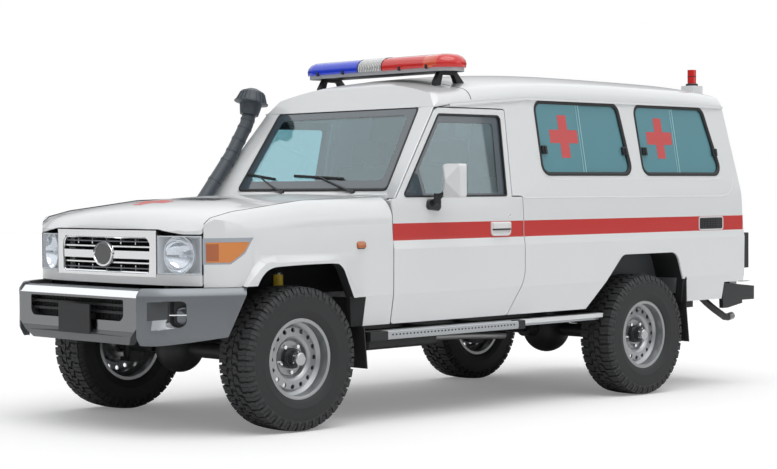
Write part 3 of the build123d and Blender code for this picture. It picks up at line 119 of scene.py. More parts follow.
def striped_paint(base, band):
    """White paint with the red band, cut off by height and length in the body's own frame."""
    material = finish("striped_paint", base, 0.28, coat=0.6)
    tree = material.node_tree
    where, split = tree.nodes.new("ShaderNodeTexCoord"), tree.nodes.new("ShaderNodeSeparateXYZ")
    level = tree.nodes.new("ShaderNodeMapping")
    level.vector_type = "TEXTURE"
    level.inputs["Location"].default_value = (AXLE_X, 0, 0)
    level.inputs["Rotation"].default_value = (0, RAKE, 0)
    tree.links.new(where.outputs["Object"], level.inputs["Vector"])
    tree.links.new(level.outputs["Vector"], split.inputs[0])
    tests = [step_node(tree, split.outputs[axis], sum(span) / 2000, (span[1] - span[0]) / 2000)
             for axis, span in (("Z", STRIPE_Z), ("X", STRIPE_X))]
    both, mix = tree.nodes.new("ShaderNodeMath"), tree.nodes.new("ShaderNodeMix")
    both.operation = "MULTIPLY"
    mix.data_type = "RGBA"
    for value, socket in zip(tests, both.inputs):
        tree.links.new(value, socket)
    mix.inputs["A"].default_value, mix.inputs["B"].default_value = (*base, 1), (*band, 1)
    tree.links.new(both.outputs[0], mix.inputs["Factor"])
    tree.links.new(mix.outputs["Result"], tree.nodes["Principled BSDF"].inputs["Base Color"])
    return material


def turn_outwards(mesh):
    """Points every face of a closed mesh outwards."""
    shape = bmesh.new()
    shape.from_mesh(mesh)
    bmesh.ops.recalc_face_normals(shape, faces=shape.faces)
    shape.to_mesh(mesh)
    shape.free()


def settle(name, mesh, finishes, body="body", bend=32, creases=None):
    """Makes a mesh a piece of the object: its finishes, smooth but for its edges, riding on its body.

    Creases tells of a point on the body whether it lies on a fold, which stays sharp however slight it is."""
    for material in finishes:
        mesh.materials.append(material)
    shape = bmesh.new()
    shape.from_mesh(mesh)
    for face in shape.faces:
        face.smooth = True
    for edge in shape.edges:
        edge.smooth = len(edge.link_faces) == 2 and edge.calc_face_angle() < math.radians(bend)
        if creases and edge.is_manifold and edge.calc_face_angle() > 0.04:
            edge.smooth = edge.smooth and not all(creases(on_body(vert.co)) for vert in edge.verts)
    shape.to_mesh(mesh)
    shape.free()
    thing = bpy.data.objects.new(name, mesh)
    bpy.context.scene.collection.objects.link(thing)
    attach(thing, body)
    return thing


def dressed(node, finishes, choose=None, bend=32, planes=(), creases=None):
    """The CAD piece with its facets joined and shaded as curves, each face in the finish that choose picks.

    Faces that span two finishes are first split by planes, each given as a point and a normal on the body."""
    shape = bmesh.new()
    shape.from_mesh(nodes[node].data)
    bmesh.ops.remove_doubles(shape, verts=shape.verts, dist=1e-5)
    for point, normal in planes:
        origin = place(*point)
        away = (place(*(p + n for p, n in zip(point, normal))) - origin).normalized()
        bmesh.ops.bisect_plane(shape, geom=shape.verts[:] + shape.edges[:] + shape.faces[:], plane_co=origin,
                               plane_no=away, dist=1e-6)
    for face in shape.faces:
        face.material_index = choose(on_body(face.calc_center_median()), face.normal) if choose else 0
    mesh = bpy.data.meshes.new(node + "_skin")
    shape.to_mesh(mesh)
    shape.free()
    thing = settle(node + "_skin", mesh, finishes, body_of(nodes[node])[0], bend, creases)
    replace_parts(thing, node)
    return thing


WHITE = (0.80, 0.815, 0.825)
white_paint = finish("white_paint", WHITE, 0.28, coat=0.6)
banded_paint = striped_paint(WHITE, (0.60, 0.035, 0.03))
underseal = finish("underseal", (0.012, 0.013, 0.014), 0.8)
for name in ("windscreen_frame", "roof_cab", "roof_rear", "rear_frame", "rear_door_left", "rear_door_right",
             "bonnet"):
    dressed(name, [white_paint])


def wing_zone(centre, normal):
    """Black inside the wing, in its arch and below the panel behind the wheel."""
    outward = normal.y * centre.y > 0 and abs(normal.y) > 0.35
    low = centre.z < 697 and centre.x > -500
    top = centre.z > 1000 and (normal.z > 0.3 or abs(centre.y) < 737)
    return int(low or not (outward or top or (abs(centre.y) > 838 and centre.x > 0)))


WING_FOLD = [(-720, 1097), (-125, 1088), (175, 1080), (355, 1075), (500, 1066), (600, 1036)]


def on_fold(point):
    """Whether a point of the side lies on one of the folds pressed along it."""
    if abs(point.y) < 800:
        return False
    for (x0, z0), (x1, z1) in zip(WING_FOLD, WING_FOLD[1:]):
        if x0 - 1 <= point.x <= x1 + 1 and abs(point.z - z0 - (z1 - z0) * (point.x - x0) / (x1 - x0)) < 2:
            return True
    return any(abs(point.z - height) < 1 for height in (700, 952, 1000, 1098))


for name in ("wing_left", "wing_right"):
    dressed(name, [white_paint, underseal], wing_zone, 52,
            [((-500, 0, 0), (1, 0, 0)), ((0, 0, 697), (0, 0, 1))], on_fold)
dressed("front_panel", [white_paint, underseal],
        lambda centre, normal: int(centre.x < 520 or centre.z > 900))


def side_zone(centre, normal):
    """The red band on the outer skin; black inside the rear arch and on the strip behind it."""
    if -3700 < centre.x < -2280 and centre.z < 900 and abs(normal.y) < 0.5 and abs(centre.y) < 838:
        return 2
    if -3422 < centre.x < -3300 and centre.z < 688:
        return 2
    return int(centre.y * normal.y > 0 and abs(normal.y) > 0.9 and abs(centre.y) > 838)


for name in ("side_panel_left", "side_panel_right"):
    dressed(name, [white_paint, banded_paint, underseal], side_zone, 32,
            [((-3422, 0, 0), (1, 0, 0)), ((0, 0, 688), (0, 0, 1)), ((0, 838, 0), (0, 1, 0)),
             ((0, -838, 0), (0, 1, 0))], on_fold)
for name in ("door_left", "door_right"):
    dressed(name, [white_paint, banded_paint],
            lambda centre, normal: int(centre.y * normal.y > 0 and abs(normal.y) > 0.9 and abs(centre.y) > 838),
            creases=on_fold)

# ---------------------------------------------------------------- floor and bulkhead
# The load floor is covered in ribbed grey rubber, and the bulkhead is painted with the body.
def clad(node, material):
    """Gives a CAD piece that is shown as it is its finish."""
    data = nodes[node].data
    data.materials.clear()
    data.materials.append(material)


dressed("floor", [finish("grey_floor", (0.20, 0.21, 0.22), 0.6), underseal],
        lambda centre, normal: int(normal.z < -0.3 or normal.y * centre.y > 0.3 * abs(centre.y)))
clad("firewall", white_paint)

# ---------------------------------------------------------------- swage lines
# Beads rolled into the side panels: one under the windows at belt height, which turns up behind them,
# and one that frames the windows closely.
SKIN_LINE = [(505, 812), (700, 848), (952, 852), (1000, 842), (1098, 842), (1232, 837), (1900, 719)]


def along_line(line, a):
    """The second number of a line of points, at a value of the first."""
    for (a0, b0), (a1, b1) in zip(line, line[1:]):
        if a <= a1:
            return b0 + (b1 - b0) * (a - a0) / (a1 - a0)
    return line[-1][1]


def skin_y(z):
    """Half width of the outer skin at a height."""
    return along_line(SKIN_LINE, z)


def circle(radius, count, a=0.0, b=0.0):
    """Points (a, b) of a circle round a centre, in its own plane."""
    return [(a + radius * math.cos(2 * math.pi * k / count), b + radius * math.sin(2 * math.pi * k / count))
            for k in range(count)]


def rounded(corners, steps=7):
    """Outline of (a, b, radius) corners, each turned into an arc of the same number of points."""
    points = []
    for i, (a, b, radius) in enumerate(corners):
        here = Vector((a, b))
        before = (Vector(corners[i - 1][:2]) - here).normalized()
        after = (Vector(corners[(i + 1) % len(corners)][:2]) - here).normalized()
        half = before.angle(after) / 2
        reach = radius / math.tan(half) if radius else 0
        centre = here + (before + after).normalized() * (radius / math.sin(half))
        start, end = here + before * reach - centre, here + after * reach - centre
        turn = start.angle_signed(end) if radius else 0
        for k in range(steps + 1):
            angle = -turn * k / steps
            c, s = math.cos(angle), math.sin(angle)
            points.append(tuple(centre + Vector((start.x * c - start.y * s, start.x * s + start.y * c))))
    return points


def shrink(corners, by):
    """Outline of (a, b, radius) corners drawn in all round by a distance."""
    moved = []
    area = sum(p[0] * q[1] - q[0] * p[1] for p, q in zip(corners, corners[1:] + corners[:1]))
    sign = 1 if area > 0 else -1
    for i, (a, b, radius) in enumerate(corners):
        here = Vector((a, b))
        into = (here - Vector(corners[i - 1][:2])).normalized()
        away = (Vector(corners[(i + 1) % len(corners)][:2]) - here).normalized()
        normal = Vector((-into.y - away.y, into.x + away.x)).normalized() * sign
        length = by / math.cos(into.angle(away) / 2)
        moved.append((*(here + normal * length), max(radius - by, 0.5 if radius else 0)))
    return moved


def skin_faces(rows, count, joined=False, ends=True):
    """Faces between rows of so many points each, with flat ends, or with the last row joined to the first."""
    faces = [(i * count + k, i * count + (k + 1) % count, (i + 1) % rows * count + (k + 1) % count,
              (i + 1) % rows * count + k) for i in range(rows if joined else rows - 1) for k in range(count)]
    if ends and not joined:
        faces += [tuple(reversed(range(count))), tuple(range((rows - 1) * count, rows * count))]
    return faces


def surface(name, loops, finish_, body="body", ends=True, joined=False, bend=32, to_room=place):
    """Skin over loops of points in mm, with flat ends, or with the last loop joined to the first."""
    mesh = bpy.data.meshes.new(name)
    points = [to_room(*p) for loop in loops for p in loop]
    mesh.from_pydata(points, [], skin_faces(len(loops), len(loops[0]), joined, ends))
    shape = bmesh.new()
    shape.from_mesh(mesh)
    bmesh.ops.remove_doubles(shape, verts=shape.verts, dist=1e-6)
    bmesh.ops.recalc_face_normals(shape, faces=shape.faces)
    shape.to_mesh(mesh)
    shape.free()
    return settle(name, mesh, [finish_], body, bend)


def on_side(outline, stand, hand):
    """Outline (x, z) as a loop that stands off the outer skin of one side by a distance."""
    return [(x, hand * (skin_y(z) + stand), z) for x, z in outline]


def raised(corners, profile, hand, steps=7):
    """Loops of a moulding on the side: its outline, drawn in and raised by each part of its profile."""
    return [on_side(rounded(shrink(corners, inset), steps), stand, hand) for inset, stand in profile]


def bead(name, line, width, rise, hand):
    """Rolled bead along a line (x, z) on the side: a low ridge that runs out into the skin."""
    loops = []
    for i, (x, z) in enumerate(line):
        ahead, behind = line[min(i + 1, len(line) - 1)], line[max(i - 1, 0)]
        along = Vector((ahead[0] - behind[0], ahead[1] - behind[1])).normalized()
        across = Vector((-along.y, along.x)) * width / 2
        ridge = [(-1, -1.5), (-0.5, rise * 0.7), (0, rise), (0.5, rise * 0.7), (1, -1.5)]
        loops.append([(x + across.x * s, hand * (skin_y(z + across.y * s) + up), z + across.y * s)
                      for s, up in ridge])
    return surface(name, loops, white_paint, bend=60)


BELT_BEAD = [(-1832, 1231), (-2300, 1231), (-3000, 1229), (-3780, 1227), (-3850, 1229), (-3905, 1240),
             (-3945, 1262), (-3968, 1300), (-3978, 1350)]
FRAME_BEAD = [(-1985, 1500), (-2015, 1400), (-2040, 1365), (-2085, 1345), (-2160, 1341), (-3000, 1341),
              (-3780, 1341), (-3840, 1350), (-3868, 1380), (-3872, 1420)]
for hand, side in ((1, "left"), (-1, "right")):
    bead(f"belt_bead_{side}", BELT_BEAD, 13, 2.2, hand)
    bead(f"frame_bead_{side}", FRAME_BEAD, 10, 1.8, hand)

# ---------------------------------------------------------------- side vent
# Outlet of the cabin air behind the rear wheel arch: a moulded black grille in a white rim, clipped into
# the red band.
VENT = [(-3822, 1009, 12), (-3822, 1087, 12), (-3564, 1087, 12), (-3564, 1009, 12)]
black_plastic = finish("black_plastic", (0.018, 0.019, 0.021), 0.45)


def repeater():
    """Geometry Nodes tree: copies of a unit, each moved and turned by one step more than the last."""
    tree = bpy.data.node_groups.new("repeated_unit", "GeometryNodeTree")
    for label, kind in (("Unit", "Geometry"), ("Copies", "Int"), ("Step", "Vector"), ("Turn", "Vector"),
                        ("Finish", "Material")):
        tree.interface.new_socket(label, in_out="INPUT", socket_type="NodeSocket" + kind)
    tree.interface.new_socket("Row", in_out="OUTPUT", socket_type="NodeSocketGeometry")
    entry, leave, points, index, move, spread, euler, whole, paint = (tree.nodes.new(kind) for kind in (
        "NodeGroupInput", "NodeGroupOutput", "GeometryNodePoints", "GeometryNodeInputIndex",
        "GeometryNodeSetPosition", "GeometryNodeInstanceOnPoints", "FunctionNodeEulerToRotation",
        "GeometryNodeRealizeInstances", "GeometryNodeSetMaterial"))
    link = tree.links.new
    link(entry.outputs["Copies"], points.inputs["Count"])
    link(points.outputs[0], move.inputs["Geometry"])
    for label, target in (("Step", move.inputs["Offset"]), ("Turn", euler.inputs[0])):
        scale = tree.nodes.new("ShaderNodeVectorMath")
        scale.operation = "SCALE"
        link(entry.outputs[label], scale.inputs[0])
        link(index.outputs[0], scale.inputs["Scale"])
        link(scale.outputs[0], target)
    link(move.outputs[0], spread.inputs["Points"])
    link(entry.outputs["Unit"], spread.inputs["Instance"])
    link(euler.outputs[0], spread.inputs["Rotation"])
    link(spread.outputs[0], whole.inputs[0])
    link(whole.outputs[0], paint.inputs["Geometry"])
    link(entry.outputs["Finish"], paint.inputs["Material"])
    link(paint.outputs[0], leave.inputs[0])
    return tree


REPEATER = repeater()


def repeated(unit, copies, step=(0, 0, 0), turn=(0, 0, 0), material=None):
    """Plain mesh of the copies that the tree makes of a unit mesh."""
    thing = bpy.data.objects.new("unit", unit)
    bpy.context.scene.collection.objects.link(thing)
    modifier = thing.modifiers.new("row", "NODES")
    modifier.node_group = REPEATER
    values = {"Copies": copies, "Step": step, "Turn": turn, "Finish": material}
    for item in REPEATER.interface.items_tree:
        if item.in_out == "INPUT" and item.name in values:
            modifier[item.identifier] = values[item.name]
    made = bpy.data.meshes.new_from_object(thing.evaluated_get(bpy.context.evaluated_depsgraph_get()))
    bpy.data.objects.remove(thing)
    made.materials.clear()
    return made


def unit_mesh(loops):
    """Closed mesh over loops of points in metres, with flat ends, for the repeater."""
    mesh = bpy.data.meshes.new("unit")
    mesh.from_pydata([tuple(p) for loop in loops for p in loop], [], skin_faces(len(loops), len(loops[0])))
    turn_outwards(mesh)
    return mesh


def box_loops(low, high):
    """Two loops of a box between two corners in mm."""
    return [[(x, low[1], low[2]), (x, high[1], low[2]), (x, high[1], high[2]), (x, low[1], high[2])]
            for x in (low[0], high[0])]


for hand, side in ((1, "left"), (-1, "right")):
    rim = raised(VENT, ((-7, -1), (-7, 3), (0, 3), (3, 0.5)), hand)
    surface(f"vent_rim_{side}", rim, white_paint)
    surface(f"vent_field_{side}", [on_side(rounded(shrink(VENT, 1)), stand, hand) for stand in (-1, 1.5)],
            black_plastic)
    slat = unit_mesh([[place(x, hand * (skin_y(z) + stand), z) for stand, z in
                       ((1, 1016), (4.5, 1018), (4.5, 1022), (1, 1026))] for x in (-3816, -3570)])
    rows = repeated(slat, 5, tuple(place(0, 0, 14.5) - place(0, 0, 0)), material=black_plastic)
    settle(f"vent_slats_{side}", rows, [black_plastic])
    post = unit_mesh([[place(x, hand * (skin_y(z) + stand), z) for x, stand in ((-3745, 1), (-3745, 4.5),
                                                                                (-3741, 4.5), (-3741, 1))]
                      for z in (1014, 1083)])
    posts = repeated(post, 6, tuple(place(30, 0, 0) - place(0, 0, 0)), material=black_plastic)
    settle(f"vent_posts_{side}", posts, [black_plastic])

# ---------------------------------------------------------------- side windows
# Sliding windows with frosted blue-green panes in black rubber: the front pane slides outside the rear one.
# A plain red cross of film is stuck on each front pane, and black catches hold both panes.
SIDE_WINDOWS = [[(-2026, 1373, 62), (-2026, 1819, 62), (-2826, 1819, 62), (-2892, 1373, 62)],
                [(-3010, 1373, 62), (-2998, 1819, 62), (-3730, 1819, 62), (-3856, 1373, 62)]]
MEETING_X = [-2446, -3406]
CROSSES = [(-2272, 1607), (-3232, 1609)]
CROSS_REACH, CROSS_ARM = 132, 41
frosted_glass = finish("frosted_glass", (0.105, 0.285, 0.335), 0.12, coat=0.5)
black_rubber = finish("black_rubber", (0.012, 0.012, 0.013), 0.55)
cross_film = finish("cross_film", (0.62, 0.09, 0.09), 0.35)
pane_edge = finish("pane_edge", (0.42, 0.66, 0.70), 0.2)


def cross_outline(x, z):
    """The twelve corners of a cross round a place on the side."""
    r, a = CROSS_REACH, CROSS_ARM
    plan = [(r, a), (a, a), (a, r), (-a, r), (-a, a), (-r, a), (-r, -a), (-a, -a), (-a, -r), (a, -r), (a, -a),
            (r, -a)]
    return [(x + dx, z + dz) for dx, dz in plan]


dressed("side_windows", [frosted_glass])
for hand, side in ((1, "left"), (-1, "right")):
    for i, (window, meeting) in enumerate(zip(SIDE_WINDOWS, MEETING_X)):
        tag = f"{side}_{'front' if i == 0 else 'rear'}"
        seal = [(-9, -1), (-9, 3), (-3, 5), (6, 3), (14, -3), (14, -16), (1, -16), (1, -1)]
        surface(f"window_seal_{tag}", raised(window, seal, hand), black_rubber, joined=True)
        front = [(meeting, 1385)] + [p for p in rounded(shrink(window, 12))
                                     if p[0] > meeting] + [(meeting, 1807)]
        surface(f"sliding_pane_{tag}", [on_side(front, stand, hand) for stand in (-11.5, -6)], frosted_glass)
        for offset, wide in ((0, 5), (24, 3)):
            edge = [(meeting + offset, 1387), (meeting + offset + wide, 1387), (meeting + offset + wide, 1805),
                    (meeting + offset, 1805)]
            surface(f"pane_edge_{tag}_{wide}", [on_side(edge, stand, hand) for stand in (-11, -4.5)], pane_edge)
        surface(f"cross_{tag}", [on_side(cross_outline(*CROSSES[i]), stand, hand) for stand in (-6.2, -5.2)],
                cross_film, bend=20)
        for x in (window[0][0] - 40, window[3][0] + 45):
            catch = [(x - 22, 1497, 5), (x - 22, 1549, 5), (x + 22, 1549, 5), (x + 22, 1497, 5)]
            surface(f"catch_{tag}_{abs(x)}", raised(catch, ((0, -12), (0, 6), (4, 10)), hand, 3), black_plastic)
            knob = [(x - 9, 1500, 3), (x - 9, 1546, 3), (x + 9, 1546, 3), (x + 9, 1500, 3)]
            surface(f"catch_grip_{tag}_{abs(x)}", raised(knob, ((0, 8), (0, 16), (3, 19)), hand, 3),
                    black_plastic)

# ---------------------------------------------------------------- front door windows
# Tinted toughened glass that winds down, in a black run channel, with a dark printed border. The corner
# ahead of it is closed by a black cover behind the mirror.
DOOR_WINDOW = [(-806, 1246, 12), (-1176, 1720, 30), (-1698, 1720, 24), (-1668, 1246, 12)]
DOOR_SIGHT = [(-1000, 1262, 6), (-968, 1402, 40), (-1180, 1672, 34), (-1636, 1674, 26), (-1606, 1262, 12)]


def sheet_glass(name, tint, shine):
    """Glass that lets tinted light straight through and mirrors a share of what it faces."""
    material = finish(name, (0.85, 0.90, 0.92), 0.02, metallic=1.0)
    tree = material.node_tree
    through, mix = tree.nodes.new("ShaderNodeBsdfTransparent"), tree.nodes.new("ShaderNodeMixShader")
    through.inputs["Color"].default_value = (*tint, 1)
    mix.inputs["Fac"].default_value = shine
    tree.links.new(through.outputs[0], mix.inputs[1])
    tree.links.new(tree.nodes["Principled BSDF"].outputs[0], mix.inputs[2])
    tree.links.new(mix.outputs[0], tree.nodes["Material Output"].inputs["Surface"])
    return material


tinted_glass = sheet_glass("tinted_glass", (0.70, 0.87, 0.90), 0.16)
printed_border = finish("printed_border", (0.062, 0.085, 0.105), 0.08, coat=1.0)
for hand, side in ((1, "left"), (-1, "right")):
    clad(f"door_glass_{side}", tinted_glass)
    body = f"door_{side}"
    sight = rounded(DOOR_SIGHT, 7)
    opening = rounded([(-806, 1246, 2), (-860, 1318, 2), (-1176, 1720, 30), (-1698, 1720, 24),
                       (-1668, 1246, 12)], 7)
    surface(f"door_border_{side}", [on_side(line, stand, hand) for line, stand in
                                    ((opening, -11.5), (opening, -9.5), (sight, -9.5), (sight, -11.5))],
            printed_border, body, joined=True)
    seal = [(-5, -1), (-5, 2.5), (5, 2.5), (5, -11), (1, -11), (1, -1)]
    surface(f"door_seal_{side}", raised(DOOR_WINDOW, seal, hand),
            black_rubber, body, joined=True)

# ---------------------------------------------------------------- door handles and locks
# A lifting flap in a white moulded cup, and the key barrel above it.
HANDLE = [(-1690, 1009, 26), (-1690, 1092, 8), (-1519, 1092, 8), (-1519, 1009, 26)]
chrome = finish("chrome", (0.84, 0.85, 0.86), 0.08, metallic=1.0)
bright_white = finish("moulded_white", (0.82, 0.82, 0.82), 0.25, coat=0.4)


def disc_loops(x, y, z, steps):
    """Loops of a turned piece on the side of the body: (radius, distance out) steps."""
    return [[(a, math.copysign(abs(y) + out, y), b) for a, b in circle(r, 20, x, z)] for r, out in steps]


for hand, side in ((1, "left"), (-1, "right")):
    body = f"door_{side}"
    cup = [(0, -1), (0, 7), (3, 10), (14, 10), (18, 4)]
    surface(f"handle_cup_{side}", raised(HANDLE, cup, hand), bright_white, body)
    flap = [(-1684, 1052, 4), (-1684, 1088, 6), (-1525, 1088, 6), (-1525, 1052, 4)]
    surface(f"handle_flap_{side}", raised(flap, ((0, 3), (0, 15), (5, 19)), hand, 3), bright_white,
            body)
    slot = [(-1684, 1042), (-1684, 1051), (-1525, 1051), (-1525, 1042)]
    surface(f"handle_slot_{side}", [on_side(slot, stand, hand) for stand in (3, 11)], black_plastic,
            body)
    surface(f"lock_{side}", disc_loops(-1683, hand * skin_y(1128), 1128, ((9, -2), (9, 3), (6, 4))), chrome,
            body)

# ---------------------------------------------------------------- windscreen and wipers
# Flat laminated glass bedded in a black rubber seal, with a dark printed border. Two wipers rest along its
# lower edge, on spindles in the black air intake panel.
SCREEN_LOW, SCREEN_HIGH = (-848, 1285), (-1159, 1762)
SCREEN_LENGTH = math.hypot(SCREEN_HIGH[0] - SCREEN_LOW[0], SCREEN_HIGH[1] - SCREEN_LOW[1])
SCREEN = [(-660, 0, 28), (660, 0, 28), (614, SCREEN_LENGTH, 34), (-614, SCREEN_LENGTH, 34)]
SIGHT = [(-592, 62, 40), (592, 62, 40), (554, SCREEN_LENGTH - 54, 46), (-554, SCREEN_LENGTH - 54, 46)]


def on_screen(across, along, out):
    """Point on the body of a place on the windscreen: mm to the left, up the slope, and out of the glass."""
    run = (SCREEN_HIGH[0] - SCREEN_LOW[0]) / SCREEN_LENGTH, (SCREEN_HIGH[1] - SCREEN_LOW[1]) / SCREEN_LENGTH
    return (SCREEN_LOW[0] + run[0] * along + run[1] * out, across,
            SCREEN_LOW[1] + run[1] * along - run[0] * out)


clad("windscreen", tinted_glass)
border = [[on_screen(a, b, out) for a, b in line] for line, out in
          ((rounded(shrink(SCREEN, 3)), 2.6), (rounded(shrink(SCREEN, 3)), 4), (rounded(SIGHT), 4),
           (rounded(SIGHT), 2.6))]
surface("screen_border", border, printed_border, joined=True)
seal = [[on_screen(a, b, out) for a, b in rounded(shrink(SCREEN, inset))] for inset, out in
        ((-9, 1), (-9, 7), (-2, 9), (8, 6), (8, 2))]
surface("screen_seal", seal, black_rubber, joined=True)


def bar(name, start, end, wide, high, material):
    """Straight bar of a rounded section between two points in mm."""
    a, b = Vector(start), Vector(end)
    along = (b - a).normalized()
    side_way = along.cross(Vector((0, 0, 1)) if abs(along.z) < 0.9 else Vector((0, 1, 0))).normalized()
    up_way = side_way.cross(along)
    loops = [[tuple(p + side_way * c * wide / 2 + up_way * s * high / 2) for c, s in circle(1, 12)]
             for p in (a, b)]
    return surface(name, loops, material)


for name, foot, middle, tips in (("left", 398, (44, 86), ((-190, 97), (262, 72))),
                                 ("right", -226, (-520, 98), ((-640, 113), (-350, 74)))):
    spindle = on_screen(foot, -24, 14)
    knee = on_screen(foot + (middle[0] - foot) * 0.42, 20, 17)
    end = on_screen(*middle, 15)
    bar(f"wiper_spindle_{name}", on_screen(foot, -24, -10), on_screen(foot, -24, 20), 26, 26, black_plastic)
    bar(f"wiper_arm_{name}", spindle, knee, 17, 11, black_plastic)
    bar(f"wiper_arm_end_{name}", knee, end, 13, 8, black_plastic)
    bar(f"wiper_blade_{name}", on_screen(*tips[0], 9), on_screen(*tips[1], 9), 10, 17, black_rubber)

# ---------------------------------------------------------------- bonnet marks
# A plain red cross of film on the bonnet, ahead of the air inlet.
CROSS_AT, CROSS_HALF, CROSS_CELL = (300, 0), 125, 12.5
film_red = finish("film_red", (0.62, 0.06, 0.055), 0.35)
bonnet_tree = BVHTree.FromObject(bpy.data.objects["bonnet_skin"], bpy.context.evaluated_depsgraph_get())


def on_bonnet(x, y, up=0.0):
    """Point in the room on the bonnet's skin over a place in plan, or a little above it."""
    down = place(x, y, 1000) - place(x, y, 1300)
    hit, normal, _, _ = bonnet_tree.ray_cast(place(x, y, 1300), down.normalized(), 1.0)
    return hit + normal * up / 1000


def draped(name, cells, material):
    """Film laid on the bonnet, from the square cells of the cross's grid that it covers."""
    shape = bmesh.new()
    corners = {}
    for i, j in cells:
        ring = []
        for key in ((i, j), (i + 1, j), (i + 1, j + 1), (i, j + 1)):
            if key not in corners:
                corners[key] = shape.verts.new(on_bonnet(CROSS_AT[0] + key[0] * CROSS_CELL,
                                                         CROSS_AT[1] + key[1] * CROSS_CELL, 0.8))
            ring.append(corners[key])
        shape.faces.new(ring)
    bmesh.ops.recalc_face_normals(shape, faces=shape.faces)
    if sum(face.normal.z for face in shape.faces) < 0:
        bmesh.ops.reverse_faces(shape, faces=shape.faces)
    rim = [e for e in shape.edges if e.is_boundary]
    walls = bmesh.ops.extrude_edge_only(shape, edges=rim)["geom"]
    for vert in walls:
        if isinstance(vert, bmesh.types.BMVert):
            vert.co.z -= 0.0012
    mesh = bpy.data.meshes.new(name)
    bmesh.ops.recalc_face_normals(shape, faces=shape.faces)
    shape.to_mesh(mesh)
    shape.free()
    return settle(name, mesh, [material], "bonnet")


reach, arm = int(CROSS_HALF / CROSS_CELL), 3
draped("bonnet_cross", [(i, j) for i in range(-reach, reach) for j in range(-reach, reach)
                        if -arm <= i < arm or -arm <= j < arm], film_red)

# ---------------------------------------------------------------- grille
# A chromed surround of moulded plastic with a thick middle bar, two thin bars and two ladder bars, ahead of
# the black radiator. The oval in the middle is a plain chromed ring round a blank black field.
bar_grey = finish("bar_grey", (0.22, 0.23, 0.25), 0.3, metallic=0.6)
dressed("grille", [chrome])
dressed("grille_bars", [chrome, bar_grey], lambda centre, normal: int(abs(centre.z - 947) > 64))
BADGE_Z = 947


def oval(half_y, half_z, x):
    """Loop of an upright oval round the middle of the grille."""
    return [(x, half_y * a, BADGE_Z + half_z * b) for a, b in circle(1, 48)]


surface("badge_ring", [oval(90, 68, 634), oval(90, 68, 648), oval(87, 65, 654), oval(78, 57, 655),
                       oval(75, 54, 650), oval(75, 54, 634)], chrome, joined=True, bend=50)
surface("badge_field", [oval(76, 55, 634), oval(76, 55, 649.5)],
        finish("badge_black", (0.02, 0.02, 0.022), 0.15, coat=1.0))
core_black = finish("core_black", (0.012, 0.013, 0.015), 0.6)
surface("radiator", box_loops((500, -444, 832), (516, 444, 1062)), core_black)
fin = unit_mesh([[place(*p) for p in loop] for loop in box_loops((516, -440, 834), (524, -437.5, 1060))])
fins = repeated(fin, 74, (0, 0.012, 0), material=core_black)
settle("radiator_fins", fins, [core_black])
inner_rim = [(-392, 850, 18), (392, 850, 18), (398, 1010, 30), (372, 1043, 24), (-372, 1043, 24),
             (-398, 1010, 30)]
nose = [640 - 20 * (abs(y) / 440) ** 2 for y, z in rounded(inner_rim)]
rim_loops = []
for inset, back in ((1, -6), (1, 6), (5, 8), (9, 5), (9, -6)):
    rim_loops.append([(x + back, y, z) for x, (y, z) in zip(nose, rounded(shrink(inner_rim, inset)))])
surface("grille_inner_rim", rim_loops, chrome, joined=True)

# ---------------------------------------------------------------- headlamps and front indicators
# Each lamp is a round chromed reflector in a bright housing behind a clear moulded cover that follows the
# nose. The indicator beside it is an amber lens in a clear-edged case.
lamp_case = finish("lamp_case", (0.90, 0.91, 0.92), 0.15)
clear_cover = sheet_glass("clear_cover", (0.97, 0.98, 1.0), 0.11)
bulb_glass = finish("bulb_glass", (0.80, 0.84, 0.88), 0.05, metallic=0.6)
amber_lens = finish("amber_lens", (0.74, 0.235, 0.03), 0.12, coat=1.0)
amber_deep = finish("amber_deep", (0.45, 0.10, 0.008), 0.12, coat=1.0)
LAMP_Y, LAMP_Z, LAMP_BACK = (451, 728), (850, 1053), 492
BOWL_AT, BOWL_TURN = (566, 952), math.radians(14)


def cut_out(node, keep, name, planes=(), depth=0.0, lift=0.0):
    """Mesh of some faces of a CAD piece, trimmed by planes on the body and made into a sheet of a thickness."""
    shape = bmesh.new()
    shape.from_mesh(nodes[node].data)
    bmesh.ops.remove_doubles(shape, verts=shape.verts, dist=1e-5)
    shape.normal_update()
    gone = [f for f in shape.faces if not keep(on_body(f.calc_center_median()), f.normal)]
    bmesh.ops.delete(shape, geom=gone, context="FACES")
    for point, normal in planes:
        origin = place(*point)
        away = (place(*(p + n for p, n in zip(point, normal))) - origin).normalized()
        bmesh.ops.bisect_plane(shape, geom=shape.verts[:] + shape.edges[:] + shape.faces[:], plane_co=origin,
                               plane_no=away, clear_outer=True)
    shape.normal_update()
    for vert in shape.verts:
        vert.co += vert.normal * lift / 1000
    if depth:
        bmesh.ops.solidify(shape, geom=shape.faces[:], thickness=depth / 1000)
        bmesh.ops.recalc_face_normals(shape, faces=shape.faces)
    mesh = bpy.data.meshes.new(name)
    shape.to_mesh(mesh)
    shape.free()
    return mesh


NOSE_LINE = [(440, 633), (500, 626), (560, 616), (600, 607), (650, 592), (700, 568), (720, 557), (760, 528)]


def lamp_nose(y):
    """X of the nose over the lamp, at a distance from the middle plane."""
    return along_line(NOSE_LINE, y)


